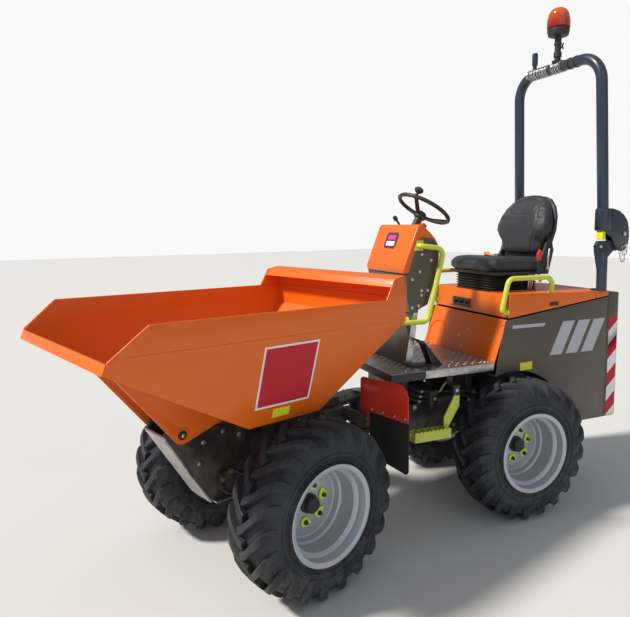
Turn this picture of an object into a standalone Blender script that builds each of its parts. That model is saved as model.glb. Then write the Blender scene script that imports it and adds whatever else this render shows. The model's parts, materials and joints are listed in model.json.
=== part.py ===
"""One-tonne articulated site dumper with a front-tipping skip.

Metres, +Z up, wheels on Z = 0. The front faces -Y and the machine's left side is +X.
The origin of the modelling frame is on the ground under the front axle, and PLAN_SHIFT moves
everything so that the finished part has its origin under the middle of its own box.
The front half lies along Y. The rear half is modelled straight, in its own frame, whose origin
is the steering pivot, and then stands steered by REST_STEER, as the machine is parked.
"""
import math

import bmesh
import bpy
from mathutils import Matrix, Vector

# ---------------------------------------------------------------- driving dimensions
TYRE_RADIUS = 0.380
TYRE_WIDTH = 0.262
RIM_SEAT_RADIUS = 0.195
RIM_FLANGE_RADIUS = 0.215
RIM_WIDTH = 0.254
HALF_TRACK = 0.429
FRONT_TO_PIVOT = 0.681
PIVOT_TO_REAR_AXLE = 0.778
REST_STEER = math.radians(-18.155)
PLAN_SHIFT = (-0.15468, -0.71924)

TOUCH = 0.0003          # gap between pieces that touch
CLEAR = 0.005           # gap between pieces that move past each other
PLATE = 0.012           # chassis plate
SHEET = 0.005           # bodywork sheet

NOSE_HALF_WIDTH = 0.085
NOSE_FOOT = (-0.300, 0.370)
NOSE_HEAD = (-0.517, 0.713)
SKIP_PIVOT = (-0.445, 0.722)
HINGE_PIN_RADIUS = 0.020
BRACKET_OUTER = 0.125
PIN_HALF = 0.121

SKIP_WALL = 0.006
LIP_Y, LIP_Z = -0.886, 1.100
SKIP_TOP_FRONT = 1.251
SKIP_TOP_REAR = 1.242
SKIP_BOTTOM_Z = 0.770
SKIP_BOTTOM_FRONT = -0.285
SKIP_BOTTOM_REAR = 0.080
SKIP_REAR_Y = 0.507
SKIP_CREASE_Z = 1.138
SPILL_TOP = 1.351
SKIP_BOTTOM_HALF = 0.370

TIP_BASE = (0.220, 0.470)
TIP_EYE = (-0.200, 0.700)
TIP_BARREL_RADIUS = 0.034
TIP_ROD_RADIUS = 0.019
TIP_BARREL_LENGTH = 0.400
TIP_ROD_START = 0.070

LUG_LOW_TOP = 0.470
LUG_HIGH_BOTTOM = 0.640
LUG_THICK = 0.030
LUG_RADIUS = 0.070
PIVOT_PIN_RADIUS = 0.020
STEER_BASE = (-0.225, 0.330)
STEER_EYE = (-0.120, 0.050)
STEER_LINE_Z = 0.545
STEER_BARREL_RADIUS = 0.024
STEER_ROD_RADIUS = 0.013
STEER_BARREL_LENGTH = 0.270
STEER_ROD_START = 0.180
SWING_AXIS_Z = 0.555

BODY_HALF = 0.365
FLOOR_TOP = 0.842
FLOOR_FRONT = 0.005
SILL_HEIGHT = 0.042
COVER_TOP = 1.205
COVER_FRONT = 0.733
COVER_REAR = 1.370
REAR_DECK_TOP = 1.203
REAR_END = 1.566
REAR_BLOCK_FRONT = 1.478
BODY_BOTTOM = 0.434
PANEL_TOP_REAR = 1.1655
ARCH_RADIUS = 0.405
FRAME_RAIL_OUT = 0.200
FRAME_RAIL_IN = 0.160
FRAME_BOTTOM = 0.450
FRAME_TOP = 0.620

CONSOLE_HALF = 0.215
WHEEL_CENTRE = (0.408, 1.679)
WHEEL_RING = 0.152
WHEEL_GRIP = 0.011
WHEEL_TILT = math.radians(30.75)
KNOB_BEARING = math.radians(-55.0)

HOOP_HALF = 0.360
HOOP_TOP_HALF = 0.345
HOOP_TUBE = 0.032
HOOP_TOP = 2.562
HOOP_FOOT_Y = 1.415
HOOP_TOP_Y = 1.364
HOOP_HINGE = (1.560, 1.540)
HOOP_CHEEK_GAP = 0.016

MUDGUARD_Y = 0.4555
MUDGUARD_OUT = 0.560

ORANGE = (0.80, 0.20, 0.02)
RED_ORANGE = (0.62, 0.08, 0.03)
CHARCOAL = (0.045, 0.042, 0.040)
BLACK = (0.012, 0.012, 0.013)
STEEL = (0.60, 0.60, 0.58)
SILVER = (0.55, 0.56, 0.56)
LIME = (0.62, 0.70, 0.08)
BLUE_GREY = (0.035, 0.048, 0.060)
AMBER = (0.80, 0.16, 0.01)

# ---------------------------------------------------------------- clean start
for old in list(bpy.data.objects):
    bpy.data.objects.remove(old, do_unlink=True)


# ---------------------------------------------------------------- helpers
def material(name, colour, roughness=0.5, metallic=0.0):
    """A Principled material for one piece."""
    made = bpy.data.materials.new(name)
    made.use_nodes = True
    shader = made.node_tree.nodes["Principled BSDF"]
    shader.inputs["Base Color"].default_value = (*colour, 1.0)
    shader.inputs["Roughness"].default_value = roughness
    shader.inputs["Metallic"].default_value = metallic
    return made


def empty(name, at, parent=None, turn_z=0.0):
    """A frame for pieces: not a node."""
    made = bpy.data.objects.new(name, None)
    made.location = at
    made.rotation_euler = (0.0, 0.0, turn_z)
    made.parent = parent
    bpy.context.collection.objects.link(made)
    return made


def finish(bm, name, parent, origin=(0.0, 0.0, 0.0), look=None, smooth=None):
    """Turn a bmesh in the parent's frame into an object whose origin is at origin."""
    bmesh.ops.remove_doubles(bm, verts=bm.verts, dist=1e-6)
    bmesh.ops.recalc_face_normals(bm, faces=bm.faces)
    bmesh.ops.translate(bm, verts=bm.verts, vec=-Vector(origin))
    mesh = bpy.data.meshes.new(name)
    bm.to_mesh(mesh)
    bm.free()
    if smooth is not None:
        mesh.shade_smooth()
        mesh.set_sharp_from_angle(angle=math.radians(smooth))
    made = bpy.data.objects.new(name, mesh)
    made.location = origin
    made.parent = parent
    bpy.context.collection.objects.link(made)
    if look is not None:
        mesh.materials.append(look)
    return made


def guide(obj):
    """Mark an object as a cutter or a joined helper that is not a node."""
    obj.hide_render = True
    obj.display_type = "WIRE"
    return obj


def combine(obj, *others, how="UNION"):
    """Join or cut obj with helper objects."""
    for other in others:
        step = obj.modifiers.new(how.lower(), "BOOLEAN")
        step.operation = how
        step.solver = "EXACT"
        step.object = guide(other)
    return obj


def prism_mesh(outline, axis, low, high):
    """Extrude an outline along X, Y or Z. Its points are (y, z), (x, z) or (x, y)."""
    def point(p, level):
        if axis == "X":
            return (level, p[0], p[1])
        if axis == "Y":
            return (p[0], level, p[1])
        return (p[0], p[1], level)
    bm = bmesh.new()
    start = [bm.verts.new(point(p, low)) for p in outline]
    end = [bm.verts.new(point(p, high)) for p in outline]
    bm.faces.new(start)
    bm.faces.new(list(reversed(end)))
    count = len(outline)
    for i in range(count):
        j = (i + 1) % count
        bm.faces.new((start[i], start[j], end[j], end[i]))
    return bm


def prism(name, outline, axis, low, high, parent, look=None, origin=(0.0, 0.0, 0.0)):
    return finish(prism_mesh(outline, axis, low, high), name, parent, origin, look)


def block(name, x, y, z, parent, look=None, origin=(0.0, 0.0, 0.0)):
    """A box from (low, high) pairs."""
    outline = [(x[0], y[0]), (x[1], y[0]), (x[1], y[1]), (x[0], y[1])]
    return prism(name, outline, "Z", z[0], z[1], parent, look, origin)


def arc(centre, radius, start, end, steps):
    """Points on an arc, angles in degrees."""
    points = []
    for i in range(steps + 1):
        angle = math.radians(start + (end - start) * i / steps)
        points.append((centre[0] + radius * math.cos(angle), centre[1] + radius * math.sin(angle)))
    return points


def lathe(name, profile, segments, parent, at, direction=(0.0, 0.0, 1.0), look=None, smooth=35):
    """Turn a closed profile of (along, radius) about an axis through at."""
    bm = bmesh.new()
    turn = Vector((0.0, 0.0, 1.0)).rotation_difference(Vector(direction)).to_matrix()
    rings = []
    for along, radius in profile:
        if radius < 1e-7:
            rings.append([bm.verts.new(turn @ Vector((0.0, 0.0, along)))])
            continue
        ring = []
        for i in range(segments):
            angle = 2.0 * math.pi * i / segments
            spot = Vector((radius * math.cos(angle), radius * math.sin(angle), along))
            ring.append(bm.verts.new(turn @ spot))
        rings.append(ring)
    count = len(profile)
    for k in range(count):
        a = rings[k]
        b = rings[(k + 1) % count]
        if len(a) == 1 and len(b) == 1:
            continue
        for i in range(segments):
            j = (i + 1) % segments
            if len(a) == 1:
                bm.faces.new((a[0], b[j], b[i]))
            elif len(b) == 1:
                bm.faces.new((a[i], a[j], b[0]))
            else:
                bm.faces.new((a[i], a[j], b[j], b[i]))
    bmesh.ops.translate(bm, verts=bm.verts, vec=Vector(at))
    return finish(bm, name, parent, at, look, smooth)


def rod(name, start, end, radius, segments, parent, look=None):
    """A plain round bar between two points."""
    way = Vector(end) - Vector(start)
    profile = [(0.0, 0.0), (0.0, radius), (way.length, radius), (way.length, 0.0)]
    return lathe(name, profile, segments, parent, start, way.normalized(), look)


def rounded_path(corners, radius, steps):
    """Round the inner corners of a polyline with arcs."""
    points = [Vector(corners[0])]
    for before, corner, after in zip(corners, corners[1:], corners[2:]):
        corner = Vector(corner)
        back = (Vector(before) - corner).normalized()
        ahead = (Vector(after) - corner).normalized()
        half = back.angle(ahead) / 2.0
        centre = corner + (back + ahead).normalized() * (radius / math.sin(half))
        first = corner + back * (radius / math.tan(half)) - centre
        last = corner + ahead * (radius / math.tan(half)) - centre
        for i in range(steps + 1):
            points.append(centre + first.slerp(last, i / steps) * radius)
    points.append(Vector(corners[-1]))
    return points


def tube(name, points, radius, sides, parent, look=None, origin=(0.0, 0.0, 0.0)):
    """Sweep a round section along points, with flat closed ends."""
    bm = bmesh.new()
    count = len(points)
    normal = (points[1] - points[0]).orthogonal().normalized()
    rings = []
    for i, spot in enumerate(points):
        ahead = points[min(i + 1, count - 1)] - points[max(i - 1, 0)]
        ahead.normalize()
        normal = (normal - ahead * normal.dot(ahead)).normalized()
        side = ahead.cross(normal)
        ring = []
        for k in range(sides):
            angle = 2.0 * math.pi * k / sides
            offset = normal * math.cos(angle) + side * math.sin(angle)
            ring.append(bm.verts.new(spot + offset * radius))
        rings.append(ring)
    for a, b in zip(rings, rings[1:]):
        for k in range(sides):
            j = (k + 1) % sides
            bm.faces.new((a[k], a[j], b[j], b[k]))
    bm.faces.new(list(reversed(rings[0])))
    bm.faces.new(rings[-1])
    return finish(bm, name, parent, origin, look, smooth=35)


def mirrored(outline):
    """The same outline on the machine's other side."""
    return [(-x, other) for x, other in reversed(outline)]


# ---------------------------------------------------------------- frames
machine = empty("machine", (*PLAN_SHIFT, 0.0))
front = empty("front_half", (0.0, 0.0, 0.0), machine)
rear = empty("rear_half", (0.0, FRONT_TO_PIVOT, 0.0), machine, REST_STEER)
SIDES = (("left", 1.0), ("right", -1.0))


# ---------------------------------------------------------------- wheels and axles
def tyre_profile():
    """(along, radius) round the section, with the bore on the rim's bead seat."""
    half = TYRE_WIDTH / 2.0
    bead = RIM_WIDTH / 2.0 - 0.005
    bore = RIM_SEAT_RADIUS + TOUCH
    flange = RIM_FLANGE_RADIUS + 0.002
    tread = TYRE_RADIUS
    side = [(bead, bore), (bead, flange), (half, flange + 0.025), (half, tread - 0.075),
            (half - 0.015, tread - 0.028), (half - 0.046, tread - 0.007)]
    return side + [(0.0, tread)] + [(-a, r) for a, r in reversed(side)]


def rim_profile(outward):
    """(along, radius) of a deep-dish rim; outward is +1 where the dish opens to +along."""
    half = RIM_WIDTH / 2.0
    flange = half - 0.0045
    seat = RIM_SEAT_RADIUS
    well = seat - 0.009
    points = [(half, RIM_FLANGE_RADIUS), (flange, RIM_FLANGE_RADIUS), (flange, seat),
              (-flange, seat), (-flange, RIM_FLANGE_RADIUS), (-half, RIM_FLANGE_RADIUS),
              (-half, well), (-0.032, well), (-0.024, 0.125), (-0.042, 0.100), (-0.042, 0.0),
              (-0.030, 0.0), (-0.030, 0.095), (-0.012, 0.120), (-0.020, well), (half, well)]
    return [(outward * a, r) for a, r in points]


RIM_INNER_FACE = 0.042


def wheel(end, side_name, side, parent, y):
    centre = (side * HALF_TRACK, y, TYRE_RADIUS)
    rubber = material(f"tyre_{end}_{side_name}", BLACK, 0.85)
    steel = material(f"rim_{end}_{side_name}", SILVER, 0.40, 0.6)
    lathe(f"tyre_{end}_{side_name}", tyre_profile(), 30, parent, centre, (1, 0, 0), rubber)
    lathe(f"rim_{end}_{side_name}", rim_profile(side), 30, parent, centre, (1, 0, 0), steel)


def axle(name, parent, y):
    """A drive axle with its housing in the middle and a flange behind each wheel."""
    end = HALF_TRACK - RIM_INNER_FACE - 0.002
    half = [(0.0, 0.090), (0.050, 0.090), (0.068, 0.045), (end - 0.020, 0.045),
            (end - 0.020, 0.070), (end, 0.070), (end, 0.0)]
    profile = half + [(-a, r) for a, r in reversed(half) if a > 0.0]
    look = material(name, BLACK, 0.6)
    lathe(name, profile, 24, parent, (0.0, y, TYRE_RADIUS), (1, 0, 0), look)


axle("front_axle", front, 0.0)
axle("rear_axle", rear, PIVOT_TO_REAR_AXLE)
for side_name, side in SIDES:
    wheel("front", side_name, side, front, 0.0)
    wheel("rear", side_name, side, rear, PIVOT_TO_REAR_AXLE)
AXLE_TOP = TYRE_RADIUS + 0.045


# ---------------------------------------------------------------- front chassis
def front_frame():
    nose_back = PLATE + TOUCH
    lean = Vector((NOSE_HEAD[0] - NOSE_FOOT[0], NOSE_HEAD[1] - NOSE_FOOT[1])).normalized()
    inward = Vector((lean.y, -lean.x)) * nose_back
    foot = (NOSE_FOOT[0] + inward.x, NOSE_FOOT[1] + inward.y)
    head = (NOSE_HEAD[0] + inward.x, NOSE_HEAD[1] + inward.y)
    saddle = AXLE_TOP + TOUCH
    outline = [foot, head, (-0.480, 0.768), (-0.405, 0.768), (-0.360, 0.720), (-0.200, 0.700),
               (0.455, 0.700), (0.455, 0.455), (0.300, saddle), (-0.075, saddle),
               (-0.105, NOSE_FOOT[1]), (foot[0] + 0.004, NOSE_FOOT[1])]
    inner = NOSE_HALF_WIDTH - PLATE
    look = material("front_frame", CHARCOAL, 0.5)
    frame = prism("front_frame", outline, "X", inner, NOSE_HALF_WIDTH, front, look)
    other = prism("g_side", outline, "X", -NOSE_HALF_WIDTH, -inner, front)
    bottom = block("g_bottom", (-0.080, 0.080), (-0.280, -0.110),
                   (NOSE_FOOT[1] + 0.001, NOSE_FOOT[1] + 0.013), front)
    cross = block("g_cross", (-0.150, 0.150), (0.300, 0.450), (0.450, 0.660), front)
    arms = block("g_arms", (-0.290, 0.290), (0.430, MUDGUARD_Y - TOUCH), (0.600, 0.6595), front)
    combine(frame, cross, other, bottom, arms)
    for label, low in (("low", LUG_LOW_TOP - LUG_THICK), ("high", LUG_HIGH_BOTTOM)):
        round_end = arc((0.0, FRONT_TO_PIVOT), LUG_RADIUS, 0, 180, 12)
        lug = [(-LUG_RADIUS, 0.440), (LUG_RADIUS, 0.440)] + round_end
        combine(frame, prism(f"g_lug_{label}", lug, "Z", low, low + LUG_THICK, front))
    for side_name, side in SIDES:
        boss = rod(f"g_boss_{side_name}", (side * 0.080, *SKIP_PIVOT), (side * 0.108, *SKIP_PIVOT),
                   0.036, 20, front)
        base = rod(f"g_base_{side_name}", (side * 0.037, *TIP_BASE), (side * 0.078, *TIP_BASE),
                   0.032, 20, front)
        combine(frame, boss, base)
    foot_end = arc(STEER_BASE, 0.030, 90, 270, 8)
    foot = [(-0.145, STEER_BASE[1] - 0.030), (-0.145, STEER_BASE[1] + 0.030)] + foot_end
    combine(frame, prism("g_steer_foot", foot, "Z", 0.495, STEER_LINE_Z - 0.0255, front))
    pin_hole = rod("g_hinge_hole", (-0.120, *SKIP_PIVOT), (0.120, *SKIP_PIVOT),
                   HINGE_PIN_RADIUS + 0.0006, 20, front)
    pivot_hole = rod("g_pivot_hole", (0.0, FRONT_TO_PIVOT, 0.400), (0.0, FRONT_TO_PIVOT, 0.700),
                     PIVOT_PIN_RADIUS + 0.0006, 20, front)
    combine(frame, pin_hole, pivot_hole, how="DIFFERENCE")
    plate = [NOSE_FOOT, NOSE_HEAD,
             (NOSE_HEAD[0] + inward.x - lean.y * TOUCH, NOSE_HEAD[1] + inward.y + lean.x * TOUCH),
             (NOSE_FOOT[0] + inward.x - lean.y * TOUCH, NOSE_FOOT[1] + inward.y + lean.x * TOUCH)]
    prism("nose_plate", plate, "X", -NOSE_HALF_WIDTH, NOSE_HALF_WIDTH, front,
          material("nose_plate", STEEL, 0.35, 0.8))


front_frame()
rod("skip_hinge_pin", (-PIN_HALF, *SKIP_PIVOT), (PIN_HALF, *SKIP_PIVOT), HINGE_PIN_RADIUS, 20, front,
    material("skip_hinge_pin", STEEL, 0.35, 0.9))
PIN_HEAD = [(0.0, 0.0), (0.0, PIVOT_PIN_RADIUS), (0.265, PIVOT_PIN_RADIUS), (0.265, 0.032),
            (0.277, 0.032), (0.277, 0.0)]
lathe("pivot_pin", PIN_HEAD, 20, front, (0.0, FRONT_TO_PIVOT, LUG_LOW_TOP - LUG_THICK - 0.0345),
      look=material("pivot_pin", STEEL, 0.4, 0.9))


# ---------------------------------------------------------------- skip
def skip():
    """Pressed-sheet tub, open on top, with hinge brackets and cylinder lugs underneath."""
    pivot = (0.0, *SKIP_PIVOT)
    bm = bmesh.new()

    def pair(x, y, z):
        return [bm.verts.new((side * x, y, z)) for _, side in SIDES]

    lip = pair(0.451, LIP_Y + 0.006, LIP_Z)
    lip_top = pair(0.453, -0.868, 1.140)
    rim_front = pair(0.475, -0.734, SKIP_TOP_FRONT)
    rim_rear = pair(0.497, 0.375, SKIP_TOP_REAR)
    gusset = pair(0.494, 0.432, 1.338)
    spill = pair(0.492, 0.497, SPILL_TOP)
    rear_top = pair(0.499, SKIP_REAR_Y, SKIP_TOP_REAR)
    rear_low = pair(0.495, SKIP_REAR_Y, SKIP_CREASE_Z)
    crease = pair(0.470, -0.806, 1.150)
    floor_front = pair(SKIP_BOTTOM_HALF, SKIP_BOTTOM_FRONT, SKIP_BOTTOM_Z)
    floor_rear = pair(SKIP_BOTTOM_HALF, SKIP_BOTTOM_REAR, SKIP_BOTTOM_Z)

    for k in (0, 1):
        bm.faces.new((crease[k], lip_top[k], rim_front[k]))
        bm.faces.new((lip[k], lip_top[k], crease[k]))
        bm.faces.new((crease[k], rim_front[k], rim_rear[k]))
        bm.faces.new((crease[k], rim_rear[k], rear_low[k]))
        bm.faces.new((rim_rear[k], rear_top[k], rear_low[k]))
        bm.faces.new((rim_rear[k], gusset[k], spill[k], rear_top[k]))
        bm.faces.new((lip[k], crease[k], floor_front[k]))
        bm.faces.new((crease[k], rear_low[k], floor_front[k]))
        bm.faces.new((rear_low[k], floor_rear[k], floor_front[k]))
    bm.faces.new((lip[0], floor_front[0], floor_front[1], lip[1]))
    bm.faces.new((floor_front[0], floor_rear[0], floor_rear[1], floor_front[1]))
    bm.faces.new((floor_rear[0], rear_low[0], rear_low[1], floor_rear[1]))
    bm.faces.new((rear_low[0], rear_top[0], rear_top[1], rear_low[1]))
    bm.faces.new((rear_top[0], spill[0], spill[1], rear_top[1]))
    bm.faces.new((spill[0], gusset[0], gusset[1], spill[1]))

    bmesh.ops.recalc_face_normals(bm, faces=bm.faces)
    bm.faces.ensure_lookup_table()
    floor = min(bm.faces, key=lambda face: face.calc_center_median().z)
    if floor.normal.z > 0.0:
        bmesh.ops.reverse_faces(bm, faces=bm.faces)
    bmesh.ops.translate(bm, verts=bm.verts, vec=-Vector(pivot))
    mesh = bpy.data.meshes.new("skip")
    bm.to_mesh(mesh)
    bm.free()
    tub = bpy.data.objects.new("skip", mesh)
    tub.location = pivot
    tub.parent = front
    bpy.context.collection.objects.link(tub)
    mesh.materials.append(material("skip", ORANGE, 0.35))
    wall = tub.modifiers.new("wall", "SOLIDIFY")
    wall.thickness = SKIP_WALL
    wall.offset = -1.0
    wall.use_even_offset = True

    lip_bar = [(LIP_Y, LIP_Z), (LIP_Y + 0.014, LIP_Z + 0.037), (LIP_Y + 0.026, LIP_Z + 0.034),
               (LIP_Y + 0.016, LIP_Z + 0.003)]
    bar = prism("g_lip", lip_bar, "X", -0.4505, 0.4505, front)
    slope = (LIP_Z - SKIP_BOTTOM_Z) / (LIP_Y - SKIP_BOTTOM_FRONT)

    def chute(y):
        return SKIP_BOTTOM_Z + slope * (y - SKIP_BOTTOM_FRONT) + SKIP_WALL / 2.0

    toe = arc(SKIP_PIVOT, 0.040, 217, 290, 8)
    bracket = [(SKIP_BOTTOM_FRONT, chute(SKIP_BOTTOM_FRONT)), (-0.735, chute(-0.735))] + toe
    bracket += [(-0.266, 0.741), (-0.150, SKIP_BOTTOM_Z + SKIP_WALL / 2.0)]
    lug = [(-0.290, SKIP_BOTTOM_Z + 0.004)] + arc(TIP_EYE, 0.030, 200, 340, 8)
    lug += [(-0.110, SKIP_BOTTOM_Z + 0.004)]
    pieces = [bar]
    for side_name, side in SIDES:
        low, high = sorted((side * (BRACKET_OUTER - PLATE), side * BRACKET_OUTER))
        pieces.append(prism(f"g_bracket_{side_name}", bracket, "X", low, high, front))
        low, high = sorted((side * 0.032, side * 0.044))
        pieces.append(prism(f"g_eye_lug_{side_name}", lug, "X", low, high, front))
    combine(tub, *pieces)
    hole = rod("g_bracket_hole", (-0.140, *SKIP_PIVOT), (0.140, *SKIP_PIVOT),
               HINGE_PIN_RADIUS + 0.0008, 20, front)
    combine(tub, hole, how="DIFFERENCE")


skip()


# ---------------------------------------------------------------- cylinders
def cylinder(name, base, eye, cross, barrel_radius, rod_radius, barrel_length, rod_start,
             eye_radius, eye_half, parent):
    """A bored barrel with its base eye, and a rod with its own eye, on one line."""
    base = Vector(base)
    eye = Vector(eye)
    cross = Vector(cross)
    way = (eye - base).normalized()
    reach = (eye - base).length
    gland = barrel_length
    bore_end = eye_radius + 0.012
    body = [(eye_radius * 0.6, 0.0), (eye_radius * 0.6, barrel_radius), (gland, barrel_radius),
            (gland, rod_radius + 0.001), (bore_end, rod_radius + 0.001), (bore_end, 0.0)]
    barrel = lathe(f"{name}_barrel", body, 20, parent, base, way,
                   material(f"{name}_barrel", BLACK, 0.45))
    base_eye = rod(f"g_{name}_base", base - cross * eye_half, base + cross * eye_half,
                   eye_radius, 20, parent)
    combine(barrel, base_eye)
    shaft = [(rod_start, 0.0), (rod_start, rod_radius), (reach - eye_radius * 0.6, rod_radius),
             (reach - eye_radius * 0.6, 0.0)]
    piston = lathe(f"{name}_rod", shaft, 20, parent, base, way,
                   material(f"{name}_rod", STEEL, 0.15, 1.0))
    rod_eye = rod(f"g_{name}_eye", eye - cross * eye_half, eye + cross * eye_half,
                  eye_radius, 20, parent)
    combine(piston, rod_eye)


cylinder("tip_cylinder", (0.0, *TIP_BASE), (0.0, *TIP_EYE), (1, 0, 0), TIP_BARREL_RADIUS,
         TIP_ROD_RADIUS, TIP_BARREL_LENGTH, TIP_ROD_START, 0.028, 0.030, front)
cos_rest, sin_rest = math.cos(REST_STEER), math.sin(REST_STEER)
steer_eye = (STEER_EYE[0] * cos_rest - STEER_EYE[1] * sin_rest,
             FRONT_TO_PIVOT + STEER_EYE[0] * sin_rest + STEER_EYE[1] * cos_rest, STEER_LINE_Z)
cylinder("steering_cylinder", (*STEER_BASE, STEER_LINE_Z), steer_eye, (0, 0, 1),
         STEER_BARREL_RADIUS, STEER_ROD_RADIUS, STEER_BARREL_LENGTH, STEER_ROD_START,
         0.024, 0.025, front)


# ---------------------------------------------------------------- front mudguards
def mudguards():
    for side_name, side in SIDES:
        guard = [(0.245, 0.605), (0.300, 0.605), (0.300, 0.672), (MUDGUARD_OUT, 0.668),
                 (MUDGUARD_OUT, 0.790), (0.545, 0.826), (0.505, 0.846), (0.262, 0.838),
                 (0.245, 0.820)]
        flap = [(0.3055, 0.452), (MUDGUARD_OUT, 0.418), (MUDGUARD_OUT, 0.700), (0.3055, 0.700)]
        if side < 0:
            guard = mirrored(guard)
            flap = mirrored(flap)
        plate = prism(f"mudguard_{side_name}", guard, "Y", MUDGUARD_Y, MUDGUARD_Y + 0.006, front,
                      material(f"mudguard_{side_name}", RED_ORANGE, 0.4))
        combine(plate, prism(f"g_flap_{side_name}", flap, "Y", MUDGUARD_Y + 0.004,
                             MUDGUARD_Y + 0.012, front))


mudguards()


# ---------------------------------------------------------------- centre pivot
def centre_block():
    """Turns between the front lugs, carries the steering arm and the swing shaft."""
    low = LUG_LOW_TOP + CLEAR
    high = LUG_HIGH_BOTTOM - CLEAR
    half = 0.055
    body = [(half, 0.100), (-half, 0.100)] + arc((0.0, 0.0), half, 180, 360, 12)
    centre = prism("centre_block", body, "Z", low, high, rear,
                   material("centre_block", BLACK, 0.5))
    arm_end = arc(STEER_EYE, 0.028, 90, 270, 8)
    arm = [(-0.040, STEER_EYE[1] - 0.028), (-0.040, STEER_EYE[1] + 0.028)] + arm_end
    plate = prism("g_arm", arm, "Z", 0.495, STEER_LINE_Z - 0.0255, rear)
    shaft = rod("g_shaft", (0.0, 0.080, SWING_AXIS_Z), (0.0, 0.235, SWING_AXIS_Z), 0.040, 20, rear)
    combine(centre, plate, shaft)
    bore = rod("g_bore", (0.0, 0.0, 0.440), (0.0, 0.0, 0.680), PIVOT_PIN_RADIUS + 0.0008, 20, rear)
    combine(centre, bore, how="DIFFERENCE")


centre_block()


# ---------------------------------------------------------------- rear chassis
def rear_frame():
    tray_under = FLOOR_TOP - SHEET - TOUCH
    look = material("rear_frame", CHARCOAL, 0.55)
    frame = block("rear_frame", (-FRAME_RAIL_OUT, FRAME_RAIL_OUT), (0.160, 0.200),
                  (FRAME_BOTTOM, tray_under), rear, look)
    pieces = []
    for side_name, side in SIDES:
        x = sorted((side * FRAME_RAIL_IN, side * FRAME_RAIL_OUT))
        rail = [(0.190, FRAME_BOTTOM), (PIVOT_TO_REAR_AXLE - 0.070, FRAME_BOTTOM),
                (PIVOT_TO_REAR_AXLE - 0.055, AXLE_TOP + TOUCH),
                (PIVOT_TO_REAR_AXLE + 0.055, AXLE_TOP + TOUCH),
                (PIVOT_TO_REAR_AXLE + 0.070, FRAME_BOTTOM), (REAR_BLOCK_FRONT - 0.002, FRAME_BOTTOM),
                (REAR_BLOCK_FRONT - 0.002, FRAME_TOP), (0.190, FRAME_TOP)]
        pieces.append(prism(f"g_rail_{side_name}", rail, "X", x[0], x[1], rear))
    wing = 0.0405
    pieces += [
        block("g_wing_front", (-0.350, 0.350), (0.165, 0.195), (tray_under - wing, tray_under), rear),
        block("g_mid", (-0.190, 0.190), (0.585, 0.625), (FRAME_BOTTOM + 0.060, tray_under), rear),
        block("g_wing_mid", (-0.350, 0.350), (0.590, 0.620), (tray_under - wing, tray_under), rear),
        block("g_rear_cross", (-0.190, 0.190), (1.430, REAR_BLOCK_FRONT - 0.003),
              (FRAME_BOTTOM + 0.010, FRAME_TOP - 0.010), rear),
        block("g_deck_post", (-0.300, 0.300), (1.400, 1.440), (FRAME_TOP - 0.030, PANEL_TOP_REAR - 0.0065), rear)]
    combine(frame, *pieces)
    hole = rod("g_swing_hole", (0.0, 0.150, SWING_AXIS_Z), (0.0, 0.245, SWING_AXIS_Z),
               0.0408, 20, rear)
    combine(frame, hole, how="DIFFERENCE")


rear_frame()
block("engine_block", (-0.155 + CLEAR, 0.155 - CLEAR), (0.900, 1.380), (0.520, 1.100), rear,
      material("engine_block", (0.20, 0.20, 0.21), 0.5, 0.5))


# ---------------------------------------------------------------- driver's platform and body
def platform():
    under = FLOOR_TOP - SILL_HEIGHT
    inner = BODY_HALF - SHEET
    outline = [(-BODY_HALF, under), (BODY_HALF, under), (BODY_HALF, FLOOR_TOP),
               (-BODY_HALF, FLOOR_TOP)]
    tray = prism("platform", outline, "Y", FLOOR_FRONT, 0.640, rear,
                 material("platform", STEEL, 0.4, 0.7))
    under_side = block("g_under", (-inner, inner), (FLOOR_FRONT - 0.01, 0.650),
                       (under - 0.01, FLOOR_TOP - SHEET), rear)
    combine(tray, under_side, how="DIFFERENCE")


def body_panels():
    lean = [(0.641, 0.8205), (0.641 + SHEET, 0.8205), (0.728 + SHEET, 1.070), (0.728, 1.070)]
    prism("seat_box_panel", lean, "X", -BODY_HALF + 0.010, BODY_HALF - 0.010, rear,
          material("seat_box_panel", ORANGE, 0.35))
    centre = (PIVOT_TO_REAR_AXLE, TYRE_RADIUS)
    rear_angle = math.degrees(math.asin((BODY_BOTTOM - TYRE_RADIUS) / ARCH_RADIUS))
    arch = arc(centre, ARCH_RADIUS, rear_angle, 108.6, 12)
    panel = [(1.474, BODY_BOTTOM), (1.474, PANEL_TOP_REAR),
             (0.712, 1.0685)] + list(reversed(arch))
    band = arch + list(reversed(arc(centre, ARCH_RADIUS + SHEET, rear_angle, 108.6, 12)))
    for side_name, side in SIDES:
        x = sorted((side * (BODY_HALF - SHEET), side * BODY_HALF))
        sheet = prism(f"side_panel_{side_name}", panel, "X", x[0], x[1], rear,
                      material(f"side_panel_{side_name}", CHARCOAL, 0.45))
        x = sorted((side * 0.215, side * (BODY_HALF - 0.002)))
        combine(sheet, prism(f"g_liner_{side_name}", band, "X", x[0], x[1], rear))
    deck_front = COVER_REAR + CLEAR
    deck_rear = REAR_BLOCK_FRONT - TOUCH
    deck = [(deck_front, PANEL_TOP_REAR - 0.006), (deck_rear, PANEL_TOP_REAR + 0.006),
            (deck_rear, REAR_DECK_TOP), (deck_front, REAR_DECK_TOP)]
    prism("rear_deck", deck, "X", -BODY_HALF, BODY_HALF, rear, material("rear_deck", ORANGE, 0.35))
    tail = [(REAR_BLOCK_FRONT, BODY_BOTTOM), (REAR_END - 0.006, BODY_BOTTOM),
            (REAR_END, BODY_BOTTOM + 0.008), (REAR_END - 0.002, 1.184), (REAR_END - 0.009, 1.191),
            (REAR_BLOCK_FRONT, 1.195)]
    prism("rear_panel", tail, "X", -BODY_HALF, BODY_HALF, rear,
          material("rear_panel", CHARCOAL, 0.45))


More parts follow.
